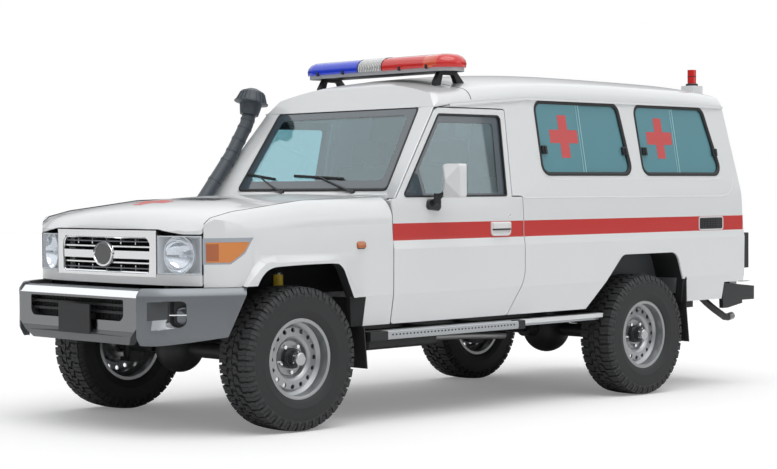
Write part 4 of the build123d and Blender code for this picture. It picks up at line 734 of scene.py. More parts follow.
for hand, side in ((1, "left"), (-1, "right")):
    front = lambda centre, normal: centre.y * hand > 0 and on_body(Vector((AXLE_X, 0, 0)) + normal).x > 300
    cover = cut_out("headlamps", front, "cover", depth=3.0)
    settle(f"lamp_cover_{side}", cover, [clear_cover], bend=40)
    steps = 8
    ys = [LAMP_Y[0] + 2 + (LAMP_Y[1] - LAMP_Y[0] - 4) * k / steps for k in range(steps + 1)]
    ring = [(y, LAMP_Z[0] + 2) for y in ys] + [(y, LAMP_Z[1] - 2) for y in reversed(ys)]
    case = []
    for inset, depth in ((0, None), (0, 4), (5, 4), (5, None)):
        loop = []
        for y, z in ring:
            z = z + inset if z < 950 else z - inset
            y = min(max(y, LAMP_Y[0] + 2 + inset), LAMP_Y[1] - 2 - inset)
            loop.append((LAMP_BACK + 4 if depth is None else lamp_nose(y) - depth, hand * y, z))
        case.append(loop)
    surface(f"lamp_walls_{side}", case, lamp_case, joined=True)
    centre = Vector((0, hand * BOWL_AT[0], BOWL_AT[1]))
    axis = Vector((math.cos(BOWL_TURN), hand * math.sin(BOWL_TURN), 0))
    across = Vector((-axis.y, axis.x, 0))
    start = Vector((LAMP_BACK + 32, centre.y, centre.z))

    def bowl_loop(radius, out):
        """One ring of the lamp's bowl, at a distance out along its axis."""
        return [tuple(start + axis * out + across * a + Vector((0, 0, b))) for a, b in circle(radius, 40)]

    profile = [(16, 4), (40, 8), (62, 18), (80, 34), (92, 52), (96, 64), (100, 64), (99, 40), (70, 6), (16, 0)]
    surface(f"lamp_bowl_{side}", [bowl_loop(r, out) for r, out in profile], chrome, ends=False,
            joined=True, bend=50)
    surface(f"lamp_bulb_{side}", [bowl_loop(r, out) for r, out in ((14, 2), (17, 30), (17, 44), (11, 52))],
            bulb_glass, bend=50)
    plate = [[(LAMP_BACK + 22 + d, hand * (LAMP_Y[0] + 3), LAMP_Z[0] + 4),
              (LAMP_BACK + 22 + d, hand * (LAMP_Y[1] - 3), LAMP_Z[0] + 4),
              (LAMP_BACK + 22 + d, hand * (LAMP_Y[1] - 3), LAMP_Z[1] - 4),
              (LAMP_BACK + 22 + d, hand * (LAMP_Y[0] + 3), LAMP_Z[1] - 4)]
             for d in (-16, -12)]
    surface(f"lamp_back_{side}", plate, lamp_case)
    outer = lambda centre, normal: (centre.y * hand > 740 and normal.y * hand > 0.02
                                    and normal.x + abs(normal.y) > 0.5)
    for name, planes, material, lift in (
            ("indicator_lens", [((550, 0, 0), (1, 0, 0)), ((0, 0, 1018), (0, 0, 1)), ((0, 0, 914), (0, 0, -1)),
                                ((430, 0, 914), (-0.45, 0, -0.6)), ((352, 0, 975), (-0.84, 0, -0.54))],
             amber_lens, 1.5),
            ("indicator_bulb", [((545, 0, 0), (1, 0, 0)), ((485, 0, 0), (-1, 0, 0)), ((0, 0, 1010), (0, 0, 1)),
                                ((0, 0, 922), (0, 0, -1))], amber_deep, 1.9)):
        lens = cut_out("indicators", outer, name, planes, 1.4, lift)
        settle(f"{name}_{side}", lens, [material], bend=40)
for hand, side in ((1, "left"), (-1, "right")):
    # Thin black strips set into the gaps beside the lamps and along the bonnet's edge are painted shadow of
    # those gaps.
    for y, low, high in ((450.2, 838, 1074), (729.6, 852, 1051)):
        x = lamp_nose(y)
        surface(f"lamp_gap_{side}_{round(y)}",
                [[(x - 20, hand * (y - 1.6), z), (x - 20, hand * (y + 1.6), z), (x + 0.8, hand * (y + 1.6), z),
                  (x + 1.2, hand * (y - 1.6), z)] for z in (low, high)], black_rubber)
    shut_line = [(-712, 1244.2), (-125, 1230), (175, 1195.2), (355, 1175.3), (450, 1154.5), (500, 1143.5),
                 (540, 1113)]
    surface(f"shut_strip_{side}",
            [[(x, hand * 731.4, z - 3), (x, hand * 735.2, z - 3), (x, hand * 735.2, z + 1.4),
              (x, hand * 731.4, z + 1.8)]
             for x, z in shut_line], black_rubber)
dressed("indicators", [finish("indicator_case", (0.38, 0.42, 0.47), 0.12, coat=1.0)])
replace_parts(bpy.data.objects["lamp_cover_left"], "headlamps")

# ---------------------------------------------------------------- front bumper
# A chromed steel channel with an open lower mouth and a tread of dark plastic on top. A blank black panel
# stands ahead of it on a bracket, where a number plate or a winch cover is fixed.
bumper_grey = finish("bumper_grey", (0.20, 0.215, 0.23), 0.36, metallic=0.55)
tread_grey = finish("tread_grey", (0.13, 0.145, 0.16), 0.5)
BUMPER_FACE = 829


def bumper_part(centre, normal):
    """Which finish a face of the bumper takes."""
    if centre.x > BUMPER_FACE + 1 or (-100 < centre.y < 135 and centre.z < 645 and centre.x > BUMPER_FACE - 45):
        return 2
    if 612 < centre.z < 724 and abs(centre.y) < 425 and centre.x < BUMPER_FACE - 18:
        return 2
    if centre.z > 765:
        return 1
    # Dark steel on the lip below 560 mm and on faces turned down is painted shade.
    if centre.z < 560 or normal.z < -0.25 or abs(centre.y) > 531:
        return 3
    # Below 738 mm the chrome takes a darker copy, a painted reflection of the dark ground.
    return 0 if centre.z > 738 else 4


# Dark steel for the bolts, and as painted shade low on the bumper; the darker chrome is a painted reflection of
# the ground.
steel_dark = finish("steel_dark", (0.16, 0.165, 0.17), 0.25, metallic=0.8)
chrome_low = finish("chrome_low", (0.25, 0.255, 0.26), 0.16, metallic=1.0)
dressed("front_bumper", [chrome, tread_grey, black_plastic, steel_dark, chrome_low], bumper_part,
        planes=[((0, 0, 560), (0, 0, 1)), ((0, 0, 737), (0, 0, 1))])
surface("bumper_tread", box_loops((655, -534, 764), (772, 534, 771)), tread_grey)
for y in range(-500, 501, 40):
    surface(f"tread_rib_{y + 500}", box_loops((668, y - 12, 771), (768, y + 12, 773.5)), tread_grey)
PLATE = [(-125, 535, 8), (161, 535, 8), (161, 692, 8), (-125, 692, 8)]
plate_rim = [[(x, y, z) for y, z in rounded(shrink(PLATE, inset), 4)]
             for inset, x in ((0.5, 848), (0.5, 854.6), (6, 854.6), (8, 852))]
surface("plate_rim", plate_rim, black_plastic, joined=True)
grid = unit_mesh([[place(*p) for p in loop] for loop in box_loops((786, -420, 616), (790, -416, 722))])
settle("mouth_bars", repeated(grid, 29, (0, 0.03, 0), material=core_black), [core_black])
surface("mouth_back", box_loops((772, -428, 608), (776, 428, 728)), core_black)

# ---------------------------------------------------------------- bumper ends and fog lamps
# Moulded ends in grey paint. Each is scooped out ahead of a fog lamp, which sits in a round-cornered pocket.
END_LINE = [(829, 536), (760, 648), (680, 716), (600, 768), (480, 830), (361, 885)]
END_LEVELS = [(489, 24), (496, 19), (528, 2), (536, 0), (742, 0), (750, 1.5), (780, 21), (784, 26)]
END_WALL = 52


def smooth_line(points, steps=8):
    """Smooth line through points in a plane."""
    made = []
    ends = [points[0]] + points + [points[-1]]
    for p0, p1, p2, p3 in zip(ends, ends[1:], ends[2:], ends[3:]):
        for k in range(steps):
            t = k / steps
            made.append(tuple(0.5 * (2 * b + (c - a) * t + (2 * a - 5 * b + 4 * c - d) * t * t
                                     + (3 * b - a - 3 * c + d) * t ** 3) for a, b, c, d in zip(p0, p1, p2, p3)))
    return made + [points[-1]]


def moved_in(line, by):
    """Line in plan moved towards the vehicle by a distance, but for its first point's place across."""
    made = []
    for i, (x, y) in enumerate(line):
        (x0, y0), (x1, y1) = line[max(i - 1, 0)], line[min(i + 1, len(line) - 1)]
        run = math.hypot(x1 - x0, y1 - y0)
        made.append((x - (y1 - y0) / run * by, y + (x1 - x0) / run * by))
    made[0] = (line[0][0] - by, line[0][1])
    return made


END_CURVE = smooth_line(END_LINE)


def bumper_end_x(y):
    """X of the outer face of a bumper end, at a distance from the middle plane."""
    return along_line([(across, x) for x, across in END_CURVE], y)


def sunk_in(corners, profile, hand):
    """Loops behind a bumper end's face: an outline drawn in and sunk by each (inset, sink) of its profile."""
    return [[(bumper_end_x(y) - sink, hand * y, z) for y, z in rounded(shrink(corners, inset))]
            for inset, sink in profile]


FOG = [(652, 583, 34), (733, 583, 34), (733, 721, 20), (652, 721, 10)]
# Inside each scoop, faces turned up take a painted light grey and the rest a painted shade.
scoop_light = finish("scoop_light", (0.46, 0.48, 0.50), 0.4, metallic=0.3)
scoop_dark = finish("scoop_dark", (0.075, 0.08, 0.085), 0.45, metallic=0.3)
fog_glass = finish("fog_glass", (0.16, 0.17, 0.19), 0.05, metallic=0.7)
SCOOP = [(586, -1, 717, 565), (606, 12, 718, 567), (634, 32, 719, 571), (664, 50, 720, 577),
         (700, 62, 720, 583)]
loops = [[(x, y, z) for x, y in moved_in(END_CURVE, step)]
         + [(x, y, z) for x, y in reversed(moved_in(END_CURVE, END_WALL))] for z, step in END_LEVELS]
end = surface("bumper_end", loops, bumper_grey, bend=26)
below = [(200, 400), (200, 800), (361, 784), (467, 531), (760, 489), (760, 400)]
cutters = [surface("below", [[(x, y, z) for x, z in below] for y in (560, 1000)], underseal),
           surface("hole", [[(x, y, z) for y, z in rounded(FOG)] for x in (400, 900)], underseal)]
loops = []
for y, sunk, top, low in SCOOP:
    x = bumper_end_x(y)
    loops.append([(x + 60, y + 30, top), (x - sunk, y, top - 2), (x - 0.9 * sunk, y, 0.36 * top + 0.64 * low),
                  (x + 1, y, low), (x + 60, y + 30, low)])
cutters.append(surface("scoop", loops, underseal))
for cutter in cutters:
    bite = end.modifiers.new(cutter.name, "BOOLEAN")
    bite.operation, bite.solver, bite.object = "DIFFERENCE", "EXACT", cutter
cut = bpy.data.meshes.new_from_object(end.evaluated_get(bpy.context.evaluated_depsgraph_get()))
for thing in [end] + cutters:
    bpy.data.objects.remove(thing)
cut.materials.clear()
for polygon in cut.polygons:
    at = on_body(polygon.center)
    sunk = bumper_end_x(abs(at.y)) - at.x
    inside = 4 < sunk < 70 and 586 < abs(at.y) < 740 and 562 < at.z < 722
    # Scoop faces turned up get the painted light, the others the painted shade.
    polygon.material_index = 0 if not inside else 1 if polygon.normal.z > 0.2 else 2
for hand, side in ((1, "left"), (-1, "right")):
    half = cut.copy()
    if hand < 0:
        half.transform(Matrix.Scale(-1, 4, (0, 1, 0)))
        half.flip_normals()
    thing = settle(f"bumper_end_{side}_skin", half, [bumper_grey, scoop_light, scoop_dark],
                   bend=30)
    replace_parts(thing, "bumper_ends")
    hollow = sunk_in(FOG, ((-4, 54), (-4, 84), (3, 84), (3, 54)), hand)
    surface(f"fog_pocket_{side}", hollow, black_plastic, joined=True)
    surface(f"fog_back_{side}", sunk_in(FOG, ((-3, 76), (-3, 82)), hand), black_plastic)
    lens = [(672, 600, 26), (727, 600, 26), (727, 690, 26), (672, 690, 26)]
    surface(f"fog_lens_{side}", sunk_in(lens, ((0, 76), (0, 62), (5, 57), (12, 55)), hand),
            fog_glass)
    surface(f"fog_bar_{side}",
            [[(bumper_end_x(y) - sink, hand * y, z) for sink, z in ((46, 645), (46, 651), (54, 651), (54, 645))]
             for y in (655, 700, 731)], chrome)

# ---------------------------------------------------------------- wheel arch lips and side repeaters
# The flare's lip is turned in round the front arch. Behind it a small amber repeater lamp is clipped
# into the wing.
repeater_amber = finish("repeater_amber", (0.50, 0.13, 0.02), 0.15, coat=1.0)
LIP_OUT = [(377, 789), (243, 902), (150, 905), (0, 905), (-150, 904.5), (-294, 903), (-330, 838), (-386, 701)]
LIP_IN = [(300, 789), (264, 842), (206, 877), (100, 886), (-140, 890), (-284, 882), (-331, 824), (-383, 701)]
out_line, in_line = smooth_line(LIP_OUT, 5), smooth_line(LIP_IN, 5)
for hand, side in ((1, "left"), (-1, "right")):
    loops = []
    for (x0, z0), (x1, z1) in zip(out_line, in_line):
        loops.append([(x0, hand * 880.5, z0), (x0, hand * 881.4, z0),
                      (x1 + 0.06 * (x0 - x1), hand * 881.4, z1 + 0.06 * (z0 - z1)),
                      (x1, hand * 878, z1), (x1, hand * 850, z1), (x0, hand * 850, z0)])
    surface(f"arch_lip_{side}", loops, white_paint, bend=50)
    lamp = [(-500, 963, 16), (-428, 963, 16), (-428, 1005, 16), (-500, 1005, 16)]
    surface(f"repeater_case_{side}", raised(lamp, ((-2, -2), (-2, 2), (1, 3)), hand),
            black_plastic)
    surface(f"repeater_{side}", raised(lamp, ((2, 2), (2, 7), (5, 12), (12, 14)), hand),
            repeater_amber, bend=50)
for hand in (1, -1):
    for y in (-60, 96):
        surface(f"plate_bolt_{hand}_{y}",
                [[(x, a, b) for a, b in circle(9, 6, y, 614 + hand * 64)] for x in (850, 854.8)],
                steel_dark)

# ---------------------------------------------------------------- tyres
# All-terrain tyres: a moulded carcass with four rows of interlocking lugs, and lugs that run down the
# shoulders. The spare is the same tyre, hung on the rear door.
PITCHES, TREAD_BASE, TYRE_RADIUS = 42, 376.0, 388.0
rubber = finish("tyre_rubber", (0.021, 0.022, 0.023), 0.6)
rubber_worn = finish("tyre_tread", (0.040, 0.041, 0.043), 0.7)


def on_tyre(around, y, radius):
    """Point of an upright wheel about the Y axis, in metres, from a length round the tread."""
    angle = around / TYRE_RADIUS
    return (radius * math.sin(angle) / 1000, y / 1000, radius * math.cos(angle) / 1000)


def tread_top(y):
    """Radius of the tread's crown at a distance from the tyre's middle."""
    return 387.7 - 5.2 * (abs(y) / 112) ** 2.2


def together(meshes, name="joined"):
    """One mesh from several, each keeping its material numbers."""
    shape = bmesh.new()
    for part in meshes:
        shape.from_mesh(part)
    mesh = bpy.data.meshes.new(name)
    shape.to_mesh(mesh)
    shape.free()
    return mesh


PITCH = 2 * math.pi * TYRE_RADIUS / PITCHES
CENTRE_LUGS = [[(3, -3), (3, -22), (15, -34), (25, -36), (26, -18), (16, -6)],
               [(18, -5), (28, -18), (27, -37), (40, -44), (47, -36), (44, -20), (52, -8), (40, -2)]]
EDGE_LUGS = [[(2, 48), (12, 42), (22, 46), (26, 66), (22, 84), (25, 112), (1, 112), (-2, 86), (4, 68)],
             [(24.5, 47), (36, 52), (46, 47), (50, 66), (45, 84), (48, 108), (27, 108), (24, 85), (28.5, 66)]]
SHOULDER = [(374, 111), (366, 117.5), (352, 121.6), (338, 122.9), (330, 121)]


def lug(outline, hand, shift):
    """One block of the tread over an outline, moved round the tyre."""
    base = [on_tyre(s + shift, y * hand, TREAD_BASE - 3 - 9 * max(0, abs(y) - 96) / 16) for s, y in outline]
    top = [on_tyre(s + shift, y * hand, tread_top(y)) for s, y in outline]
    return unit_mesh([base, top])


def shoulder_lug(start, end, hand, low):
    """Lug that runs down the shoulder between two places round the tread."""
    line = SHOULDER[:low]
    loops = []
    for s in (start, end):
        outer = [on_tyre(s, y * hand, radius) for radius, y in line]
        inner = [on_tyre(s, (y - 7) * hand, radius - 3) for radius, y in reversed(line)]
        loops.append([on_tyre(s, 111 * hand, tread_top(111))] + outer + inner)
    return unit_mesh(loops)


lugs = []
for hand, shift in ((1, 0), (-1, PITCH / 2)):
    lugs += [lug(outline, hand, shift) for outline in CENTRE_LUGS]
    lugs += [lug(outline, hand, shift + 6) for outline in EDGE_LUGS]
    lugs += [shoulder_lug(shift + 8, shift + 30, hand, 5), shoulder_lug(shift + 34, shift + 53, hand, 3)]
tread = repeated(together(lugs), PITCHES, turn=(0, 2 * math.pi / PITCHES, 0), material=rubber_worn)
half_line = [(376, 0), (375.6, 60), (374, 92), (368, 106), (356, 115.5), (340, 120.3), (333, 121.4),
             (330, 119.6),
             (300, 121.6), (268, 118.5), (262, 119.6), (256, 117.5), (236, 112), (222, 105), (216, 100),
             (209, 97), (204, 88)]
section = half_line + [(228, 96), (330, 104), (352, 92), (362, 60), (362, 0)]
section += [(r, -y) for r, y in reversed(section[1:-1])]
carcass = bpy.data.meshes.new("carcass")
TYRE_STEPS = 112
points = [on_tyre(2 * math.pi * TYRE_RADIUS * k / TYRE_STEPS, y, r) for k in range(TYRE_STEPS)
          for r, y in section]
carcass.from_pydata(points, [], skin_faces(TYRE_STEPS, len(section), joined=True))
turn_outwards(carcass)
for part, number in ((carcass, 0), (tread, 1)):
    for polygon in part.polygons:
        polygon.material_index = number
TYRE = together([carcass, tread], "tyre")


def seat_of(node):
    """Middle of a CAD piece in the room."""
    corners = [Vector(v.co) for v in nodes[node].data.vertices]
    low, high = (Vector(f(c[i] for c in corners) for i in range(3)) for f in (min, max))
    return (low + high) / 2


WHEELS = {"front_left": (0, "wheel_front_left"), "front_right": (180, "wheel_front_right"),
          "rear_left": (0, "wheel_rear_left"), "rear_right": (180, "wheel_rear_right"),
          "spare": (90, "rear_door_right")}
SEATS = {}
for corner, (turn, body) in WHEELS.items():
    node = "spare_tyre" if corner == "spare" else f"tyre_{corner}"
    lean = Matrix.Rotation(RAKE, 4, "Y") if corner == "spare" else Matrix.Identity(4)
    spin = Matrix.Rotation(math.radians(11), 4, "Y")
    SEATS[corner] = Matrix.Translation(seat_of(node)) @ lean @ Matrix.Rotation(math.radians(turn), 4, "Z")
    copy = TYRE.copy()
    copy.transform(SEATS[corner] @ spin)
    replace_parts(settle(f"tyre_{corner}_rubber", copy, [rubber, rubber_worn], body, bend=24),
                node)

# ---------------------------------------------------------------- wheels
# Pressed steel wheels in silver enamel with round vent holes and five plated nuts. The hub in the middle
# is dark cast iron and carries a locking cap held by six small bolts.
silver = finish("wheel_silver", (0.42, 0.43, 0.44), 0.32, metallic=0.75)
hub_dark = finish("hub_iron", (0.035, 0.037, 0.04), 0.4, metallic=0.4)
cap_silver = finish("cap_silver", (0.55, 0.56, 0.57), 0.25, metallic=1.0)
DISC_FACE, STUD_CIRCLE = 36, 75


def wheel_zone(seat):
    """The finish of each face of a rim that sits at a seat."""
    back = seat.inverted()

    def choose(centre, normal):
        local = back @ place(*centre) * 1000
        radius, out = math.hypot(local.x, local.z), local.y
        if radius < 57 and out > DISC_FACE - 30:
            return 2 if radius < 35 and out > DISC_FACE + 46 else 1
        nearest = min((local - Vector((STUD_CIRCLE * math.sin(a), local.y, STUD_CIRCLE * math.cos(a)))).length
                      for a in (math.radians(36 + 72 * k) for k in range(5)))
        return 3 if nearest < 12.6 and DISC_FACE - 26.5 < out + 0.1 and out > DISC_FACE - 25.5 else 0

    return choose


def turned(profile, count, seat):
    """Loops in the room of a piece turned about a wheel's axle, from its (radius, out) profile."""
    return [[seat @ Vector((b, out, a)) for a, b in circle(r, count)] for r, out in profile]


def in_room(*point):
    """A point that is already in the room's metres."""
    return Vector(point)


for corner, (_, body) in WHEELS.items():
    node = "spare_rim" if corner == "spare" else f"rim_{corner}"
    dressed(node, [silver, hub_dark, cap_silver, chrome], wheel_zone(SEATS[corner]))
    seat = SEATS[corner] @ Matrix.Scale(0.001, 4)
    surface(f"cap_rim_{corner}", turned([(34.5, 102), (34.5, 105), (30, 107), (26, 107), (24, 104), (24, 102)],
                                        30, seat), cap_silver, body, joined=True, to_room=in_room)
    surface(f"hub_ring_{corner}", turned([(49, 46), (53, 47), (53, 52), (48, 54), (46, 50)], 30, seat),
            hub_dark, body, joined=True, to_room=in_room)
    bolt = unit_mesh(turned([(3.6, 78), (3.6, 84.5), (2.4, 86)], 6,
                            Matrix.Translation((0, 0, 0.038)) @ Matrix.Scale(0.001, 4)))
    bolts = repeated(bolt, 6, turn=(0, math.pi / 3, 0), material=chrome)
    bolts.transform(SEATS[corner])
    settle(f"hub_bolts_{corner}", bolts, [chrome], body)
    surface(f"rim_lip_{corner}", turned([(216.4, 95.4), (216.4, 100.6), (213, 101.6), (204, 100.4), (199, 97),
                                         (197.6, 92),
                                         (199, 92), (213, 95.4)], 72, seat), silver, body,
            joined=True, to_room=in_room)
    stem = Matrix.Translation(SEATS[corner] @ Vector((0.181, 0.048, 0.02)))
    valve = stem @ SEATS[corner].to_3x3().to_4x4() @ Matrix.Scale(0.001, 4)
    surface(f"valve_{corner}", turned([(4.5, -16), (4.5, 2), (3, 4), (3, 22), (1, 23)], 12, valve),
            black_rubber, body, to_room=in_room)

# ---------------------------------------------------------------- light bar and beacon
# A roof bar on arched feet: a blue lens, a clear ribbed one over the siren, and a red lens with a turning
# lamp in its end. A small red beacon stands at the rear corner of the roof.
lens_blue = finish("lens_blue", (0.006, 0.045, 0.72), 0.12, coat=0.5)
lens_red = finish("lens_red", (0.72, 0.022, 0.02), 0.12, coat=0.5)
lens_glow = finish("lens_glow", (0.78, 0.085, 0.02), 0.10, coat=1.0)
lens_clear = finish("lens_clear", (0.22, 0.23, 0.22), 0.12, coat=1.0)
lens_rib = finish("lens_rib", (0.78, 0.79, 0.78), 0.15, coat=1.0)
bar_base = finish("bar_base", (0.50, 0.52, 0.54), 0.35)
BAR_X, BAR_Z, LENS_SPLIT = -1474, (2009, 2092), (-112, 96)


def lens_zone(centre, normal):
    """Which colour of the light bar a face takes."""
    if centre.y < LENS_SPLIT[0] + 0.5:
        return 0
    if centre.y < LENS_SPLIT[1] + 0.5:
        return 1
    return 3 if 455 < centre.y < 560 and centre.z > 2020 else 2


dressed("light_lenses", [lens_blue, lens_clear, lens_red, lens_glow], lens_zone, bend=40,
        planes=[((0, 455, 0), (0, 1, 0)), ((0, 560, 0), (0, 1, 0))])
dressed("light_bar", [bar_base, black_plastic], lambda centre, normal: int(centre.z < 1988.5))
LENS_RISE = BAR_Z[1] - BAR_Z[0]
LENS_LEVELS = [(0.0, 4), (0.3, 0), (0.55, 6), (0.8, 24), (0.95, 52), (1.0, 86)]


def lens_section(y, grow):
    """The light bar's section at a place along it, a little larger all round."""
    half = [(125 - inset + grow, BAR_Z[0] + share * LENS_RISE + grow * (share > 0.9))
            for share, inset in LENS_LEVELS]
    ring = [(BAR_X + across, y, z) for across, z in half] + [(BAR_X - across, y, z)
                                                             for across, z in reversed(half)]
    return [place(*p) for p in ring]


rib = unit_mesh([lens_section(y, grow) for y, grow in ((-106, -1), (-104, 2.2), (-98.5, 2.2), (-96.5, -1))])
settle("lens_ribs", repeated(rib, 14, (0, 0.0148, 0), material=lens_rib), [lens_rib], bend=40)
for y in (LENS_SPLIT[0] - 1, LENS_SPLIT[1] + 1):
    seam = unit_mesh([lens_section(y + along, 2.2) for along in (-3, 3)])
    settle(f"lens_seam_{y + 200}", seam, [black_plastic], bend=40)
for k, y in enumerate((-480, -250, 250, 480)):
    surface(f"lens_clip_{k}", [[(BAR_X + 118, y - 9, 2002), (BAR_X + 127, y - 9, 2006),
                                (BAR_X + 127, y - 9, 2026), (BAR_X + 120, y - 9, 2030)],
                               [(BAR_X + 118, y + 9, 2002), (BAR_X + 127, y + 9, 2006),
                                (BAR_X + 127, y + 9, 2026), (BAR_X + 120, y + 9, 2030)]],
            black_plastic)
beacon_red = finish("beacon_red", (0.72, 0.02, 0.015), 0.12, coat=1.0)
dressed("beacon", [white_paint, beacon_red], lambda centre, normal: int(centre.z > 1986))
BEACON_AT = (-3905, 530)


def post_loops(x, y, profile, count=28):
    """Loops of an upright turned piece, from its (radius, height) profile."""
    return [[(a, b, z) for a, b in circle(radius, count, x, y)] for radius, z in profile]


surface("beacon_collar", post_loops(*BEACON_AT, ((42, 1984), (42, 1996), (36, 2001), (27, 2001))),
        black_plastic)
surface("beacon_band", post_loops(*BEACON_AT, ((28, 2046), (30.5, 2047), (30.5, 2051), (28, 2052))),
        black_plastic)

# ---------------------------------------------------------------- snorkel
# The raised air intake up the right-hand screen pillar: a moulded pipe with a ribbed rain head.
snorkel_grey = finish("snorkel_grey", (0.062, 0.075, 0.090), 0.42)
dressed("snorkel", [snorkel_grey], bend=40)
SNORKEL_LINE = [(-620, -778, 1180), (-885, -778, 1503), (-1002, -768, 1697), (-1026, -768, 1760)]
for k, (start, end) in enumerate(zip(SNORKEL_LINE, SNORKEL_LINE[1:])):
    along = (Vector(end) - Vector(start)).normalized()
    side_way = along.cross(Vector((0, 1, 0))).normalized()
    for j, share in enumerate((0.12, 0.5, 0.88) if k < 2 else (0.5,)):
        at = Vector(start).lerp(Vector(end), share)
        loops = []
        for slide, radius in ((-9, 42), (-7, 46), (7, 46), (9, 42)):
            centre = at + along * slide
            loops.append([tuple(centre + side_way * a + Vector((0, b, 0))) for a, b in circle(radius, 28)])
        surface(f"snorkel_band_{k}_{j}", loops, snorkel_grey, bend=40)
HEAD_AT, HEAD_UP = Vector((-1026, -768, 1760)), Vector((-0.22, 0, 0.975))
vane = []
for turn_, rise in ((-3, 86), (3, 86), (3, 142), (-3, 142)):
    angle = math.radians(turn_)
    for radius in (70, 101 - (rise - 86) * 0.38):
        vane.append((angle, radius, rise))
vane_loops = [[(math.cos(a) * r, math.sin(a) * r, h) for a, r, h in (vane[0], vane[1], vane[3], vane[2])],
              [(math.cos(a) * r, math.sin(a) * r, h) for a, r, h in (vane[6], vane[7], vane[5], vane[4])]]
vane_unit = unit_mesh([[Vector(p) / 1000 for p in loop] for loop in vane_loops])
vanes = repeated(vane_unit, 20, turn=(0, 0, 2 * math.pi / 20), material=snorkel_grey)
brim = unit_mesh([[Vector((a, b, h)) / 1000 for a, b in circle(r, 40)]
                  for r, h in ((90, 76), (108, 77), (108, 84), (90, 90))])
tilt = Matrix.Translation(place(*HEAD_AT)) @ (place(*(HEAD_AT + HEAD_UP * 1000))
                                              - place(*HEAD_AT)).to_track_quat("Z", "Y").to_matrix().to_4x4()
vanes.transform(tilt)
settle("snorkel_vanes", vanes, [snorkel_grey])
brim.transform(tilt)
settle("snorkel_brim", brim, [snorkel_grey])

# ---------------------------------------------------------------- door mirrors
# Each mirror is a white moulded shell, faceted to the front, round a black rim and the glass. It is held by a
# short black arm on a plate that is bolted through the door's skin.
mirror_glass = finish("mirror_glass", (0.80, 0.84, 0.87), 0.02, metallic=1.0)
HEAD = [(922, 1240, 16), (1068.9, 1240, 16), (1068.9, 1430, 18), (922, 1430, 20)]
for hand, side in ((1, "left"), (-1, "right")):
    body = f"door_{side}"

    def head_loop(x, inset):
        """The mirror head's outline at one depth."""
        return [(x, hand * y, z) for y, z in rounded(shrink(HEAD, inset))]

    shell = [head_loop(-1076, 3), head_loop(-1076, 0), head_loop(-1036, 0), head_loop(-1026, 5)]
    shell += [[(-985, hand * (992 + (y - 1005) * 0.06), 1334 + (z - 1336) * 0.10) for y, z in rounded(HEAD)]]
    skin = surface(f"mirror_shell_{side}", shell, white_paint, body, bend=16)
    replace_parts(skin, f"mirror_{side}")
    surface(f"mirror_rim_{side}", [head_loop(-1074, 2), head_loop(-1082, 2), head_loop(-1082, 8),
                                   head_loop(-1074, 9)], black_plastic, body, joined=True)
    surface(f"mirror_glass_{side}", [head_loop(-1075, 8), head_loop(-1078, 8)], mirror_glass,
            body)
    arm = [((-1030, 846, 1206), 17, 24), ((-1030, 872, 1216), 17, 24), ((-1030, 892, 1236), 15, 19),
           ((-1030, 930, 1262), 13, 15), ((-1030, 960, 1276), 12, 14)]
    loops = []
    for (x, y, z), half_x, half_z in arm:
        loops.append([(x + half_x * a, hand * y, z + half_z * b) for a, b in circle(1, 20)])
    surface(f"mirror_arm_{side}", loops, black_plastic, body, bend=50)
    foot = [(-1096, 1160, 26), (-982, 1172, 20), (-988, 1228, 22), (-1096, 1231, 30)]
    surface(f"mirror_foot_{side}",
            [[(x, hand * (skin_y(z) + stand), z) for x, z in rounded(shrink(foot, inset))]
             for inset, stand in ((0, -1), (0, 9), (5, 15), (14, 17))], black_plastic, body)
    surface(f"mirror_knuckle_{side}", [[(a, hand * b, z) for a, b in circle(21, 24, -1030, 884)]
                                       for z in (1204, 1262)], black_plastic, body)

# ---------------------------------------------------------------- sills and running boards
# Folded steel sills run under the doors. Below them an extruded aluminium board with black end caps stands
# on brackets from the frame, its outer edge pierced by a row of drain holes.
board_silver = finish("board_silver", (0.50, 0.52, 0.54), 0.38, metallic=0.8)
dressed("running_boards", [board_silver, black_plastic],
        lambda centre, normal: int(centre.x < -1740 or centre.x > -650 or abs(centre.y) < 730),
        planes=[((-1740, 0, 0), (1, 0, 0)), ((-650, 0, 0), (1, 0, 0)), ((0, 730, 0), (0, 1, 0)),
                ((0, -730, 0), (0, 1, 0))])
EDGE = [(836, 452), (858, 452), (861.8, 456), (861.8, 494), (858, 498.5), (850, 499), (846, 492), (836, 492)]
CAP = [(800, 447), (850, 447), (861.9, 454), (861.9, 497), (855, 500), (800, 500)]
for hand, side in ((1, "left"), (-1, "right")):
    surface(f"board_edge_{side}", [[(x, hand * y, z) for y, z in EDGE] for x in (-1741, -649)], board_silver)
    for end, (x0, x1) in (("front", (-655, -520)), ("rear", (-1800, -1738))):
        surface(f"board_cap_{end}_{side}", [[(x, hand * y, z) for y, z in CAP] for x in (x0, x1)],
                black_plastic)
    surface(f"sill_{side}", box_loops((-2560, hand * 700 - 60 * (hand < 0), 470),
                                      (-540, hand * 700 + 60 * (hand > 0), 502)), underseal)
    surface(f"sill_face_{side}",
            [[(x, hand * y, z) for y, z in ((770, 468), (803, 474), (806, 500), (770, 502))]
             for x in (-2600, -535)], white_paint)
    surface(f"sill_flange_{side}",
            [[(x, hand * y, z) for y, z in ((772, 458), (778, 458), (778, 470), (772, 470))]
             for x in (-2590, -1740)], board_silver)
    hole = unit_mesh([[place(-1700 + 7 * a, hand * y, 478 + 5 * b) for a, b in circle(1, 12)]
                      for y in (861, 862.3)])
    run = place(-1672, 0, 0) - place(-1700, 0, 0)
    settle(f"board_holes_{side}", repeated(hole, 37, tuple(run), material=core_black), [core_black])

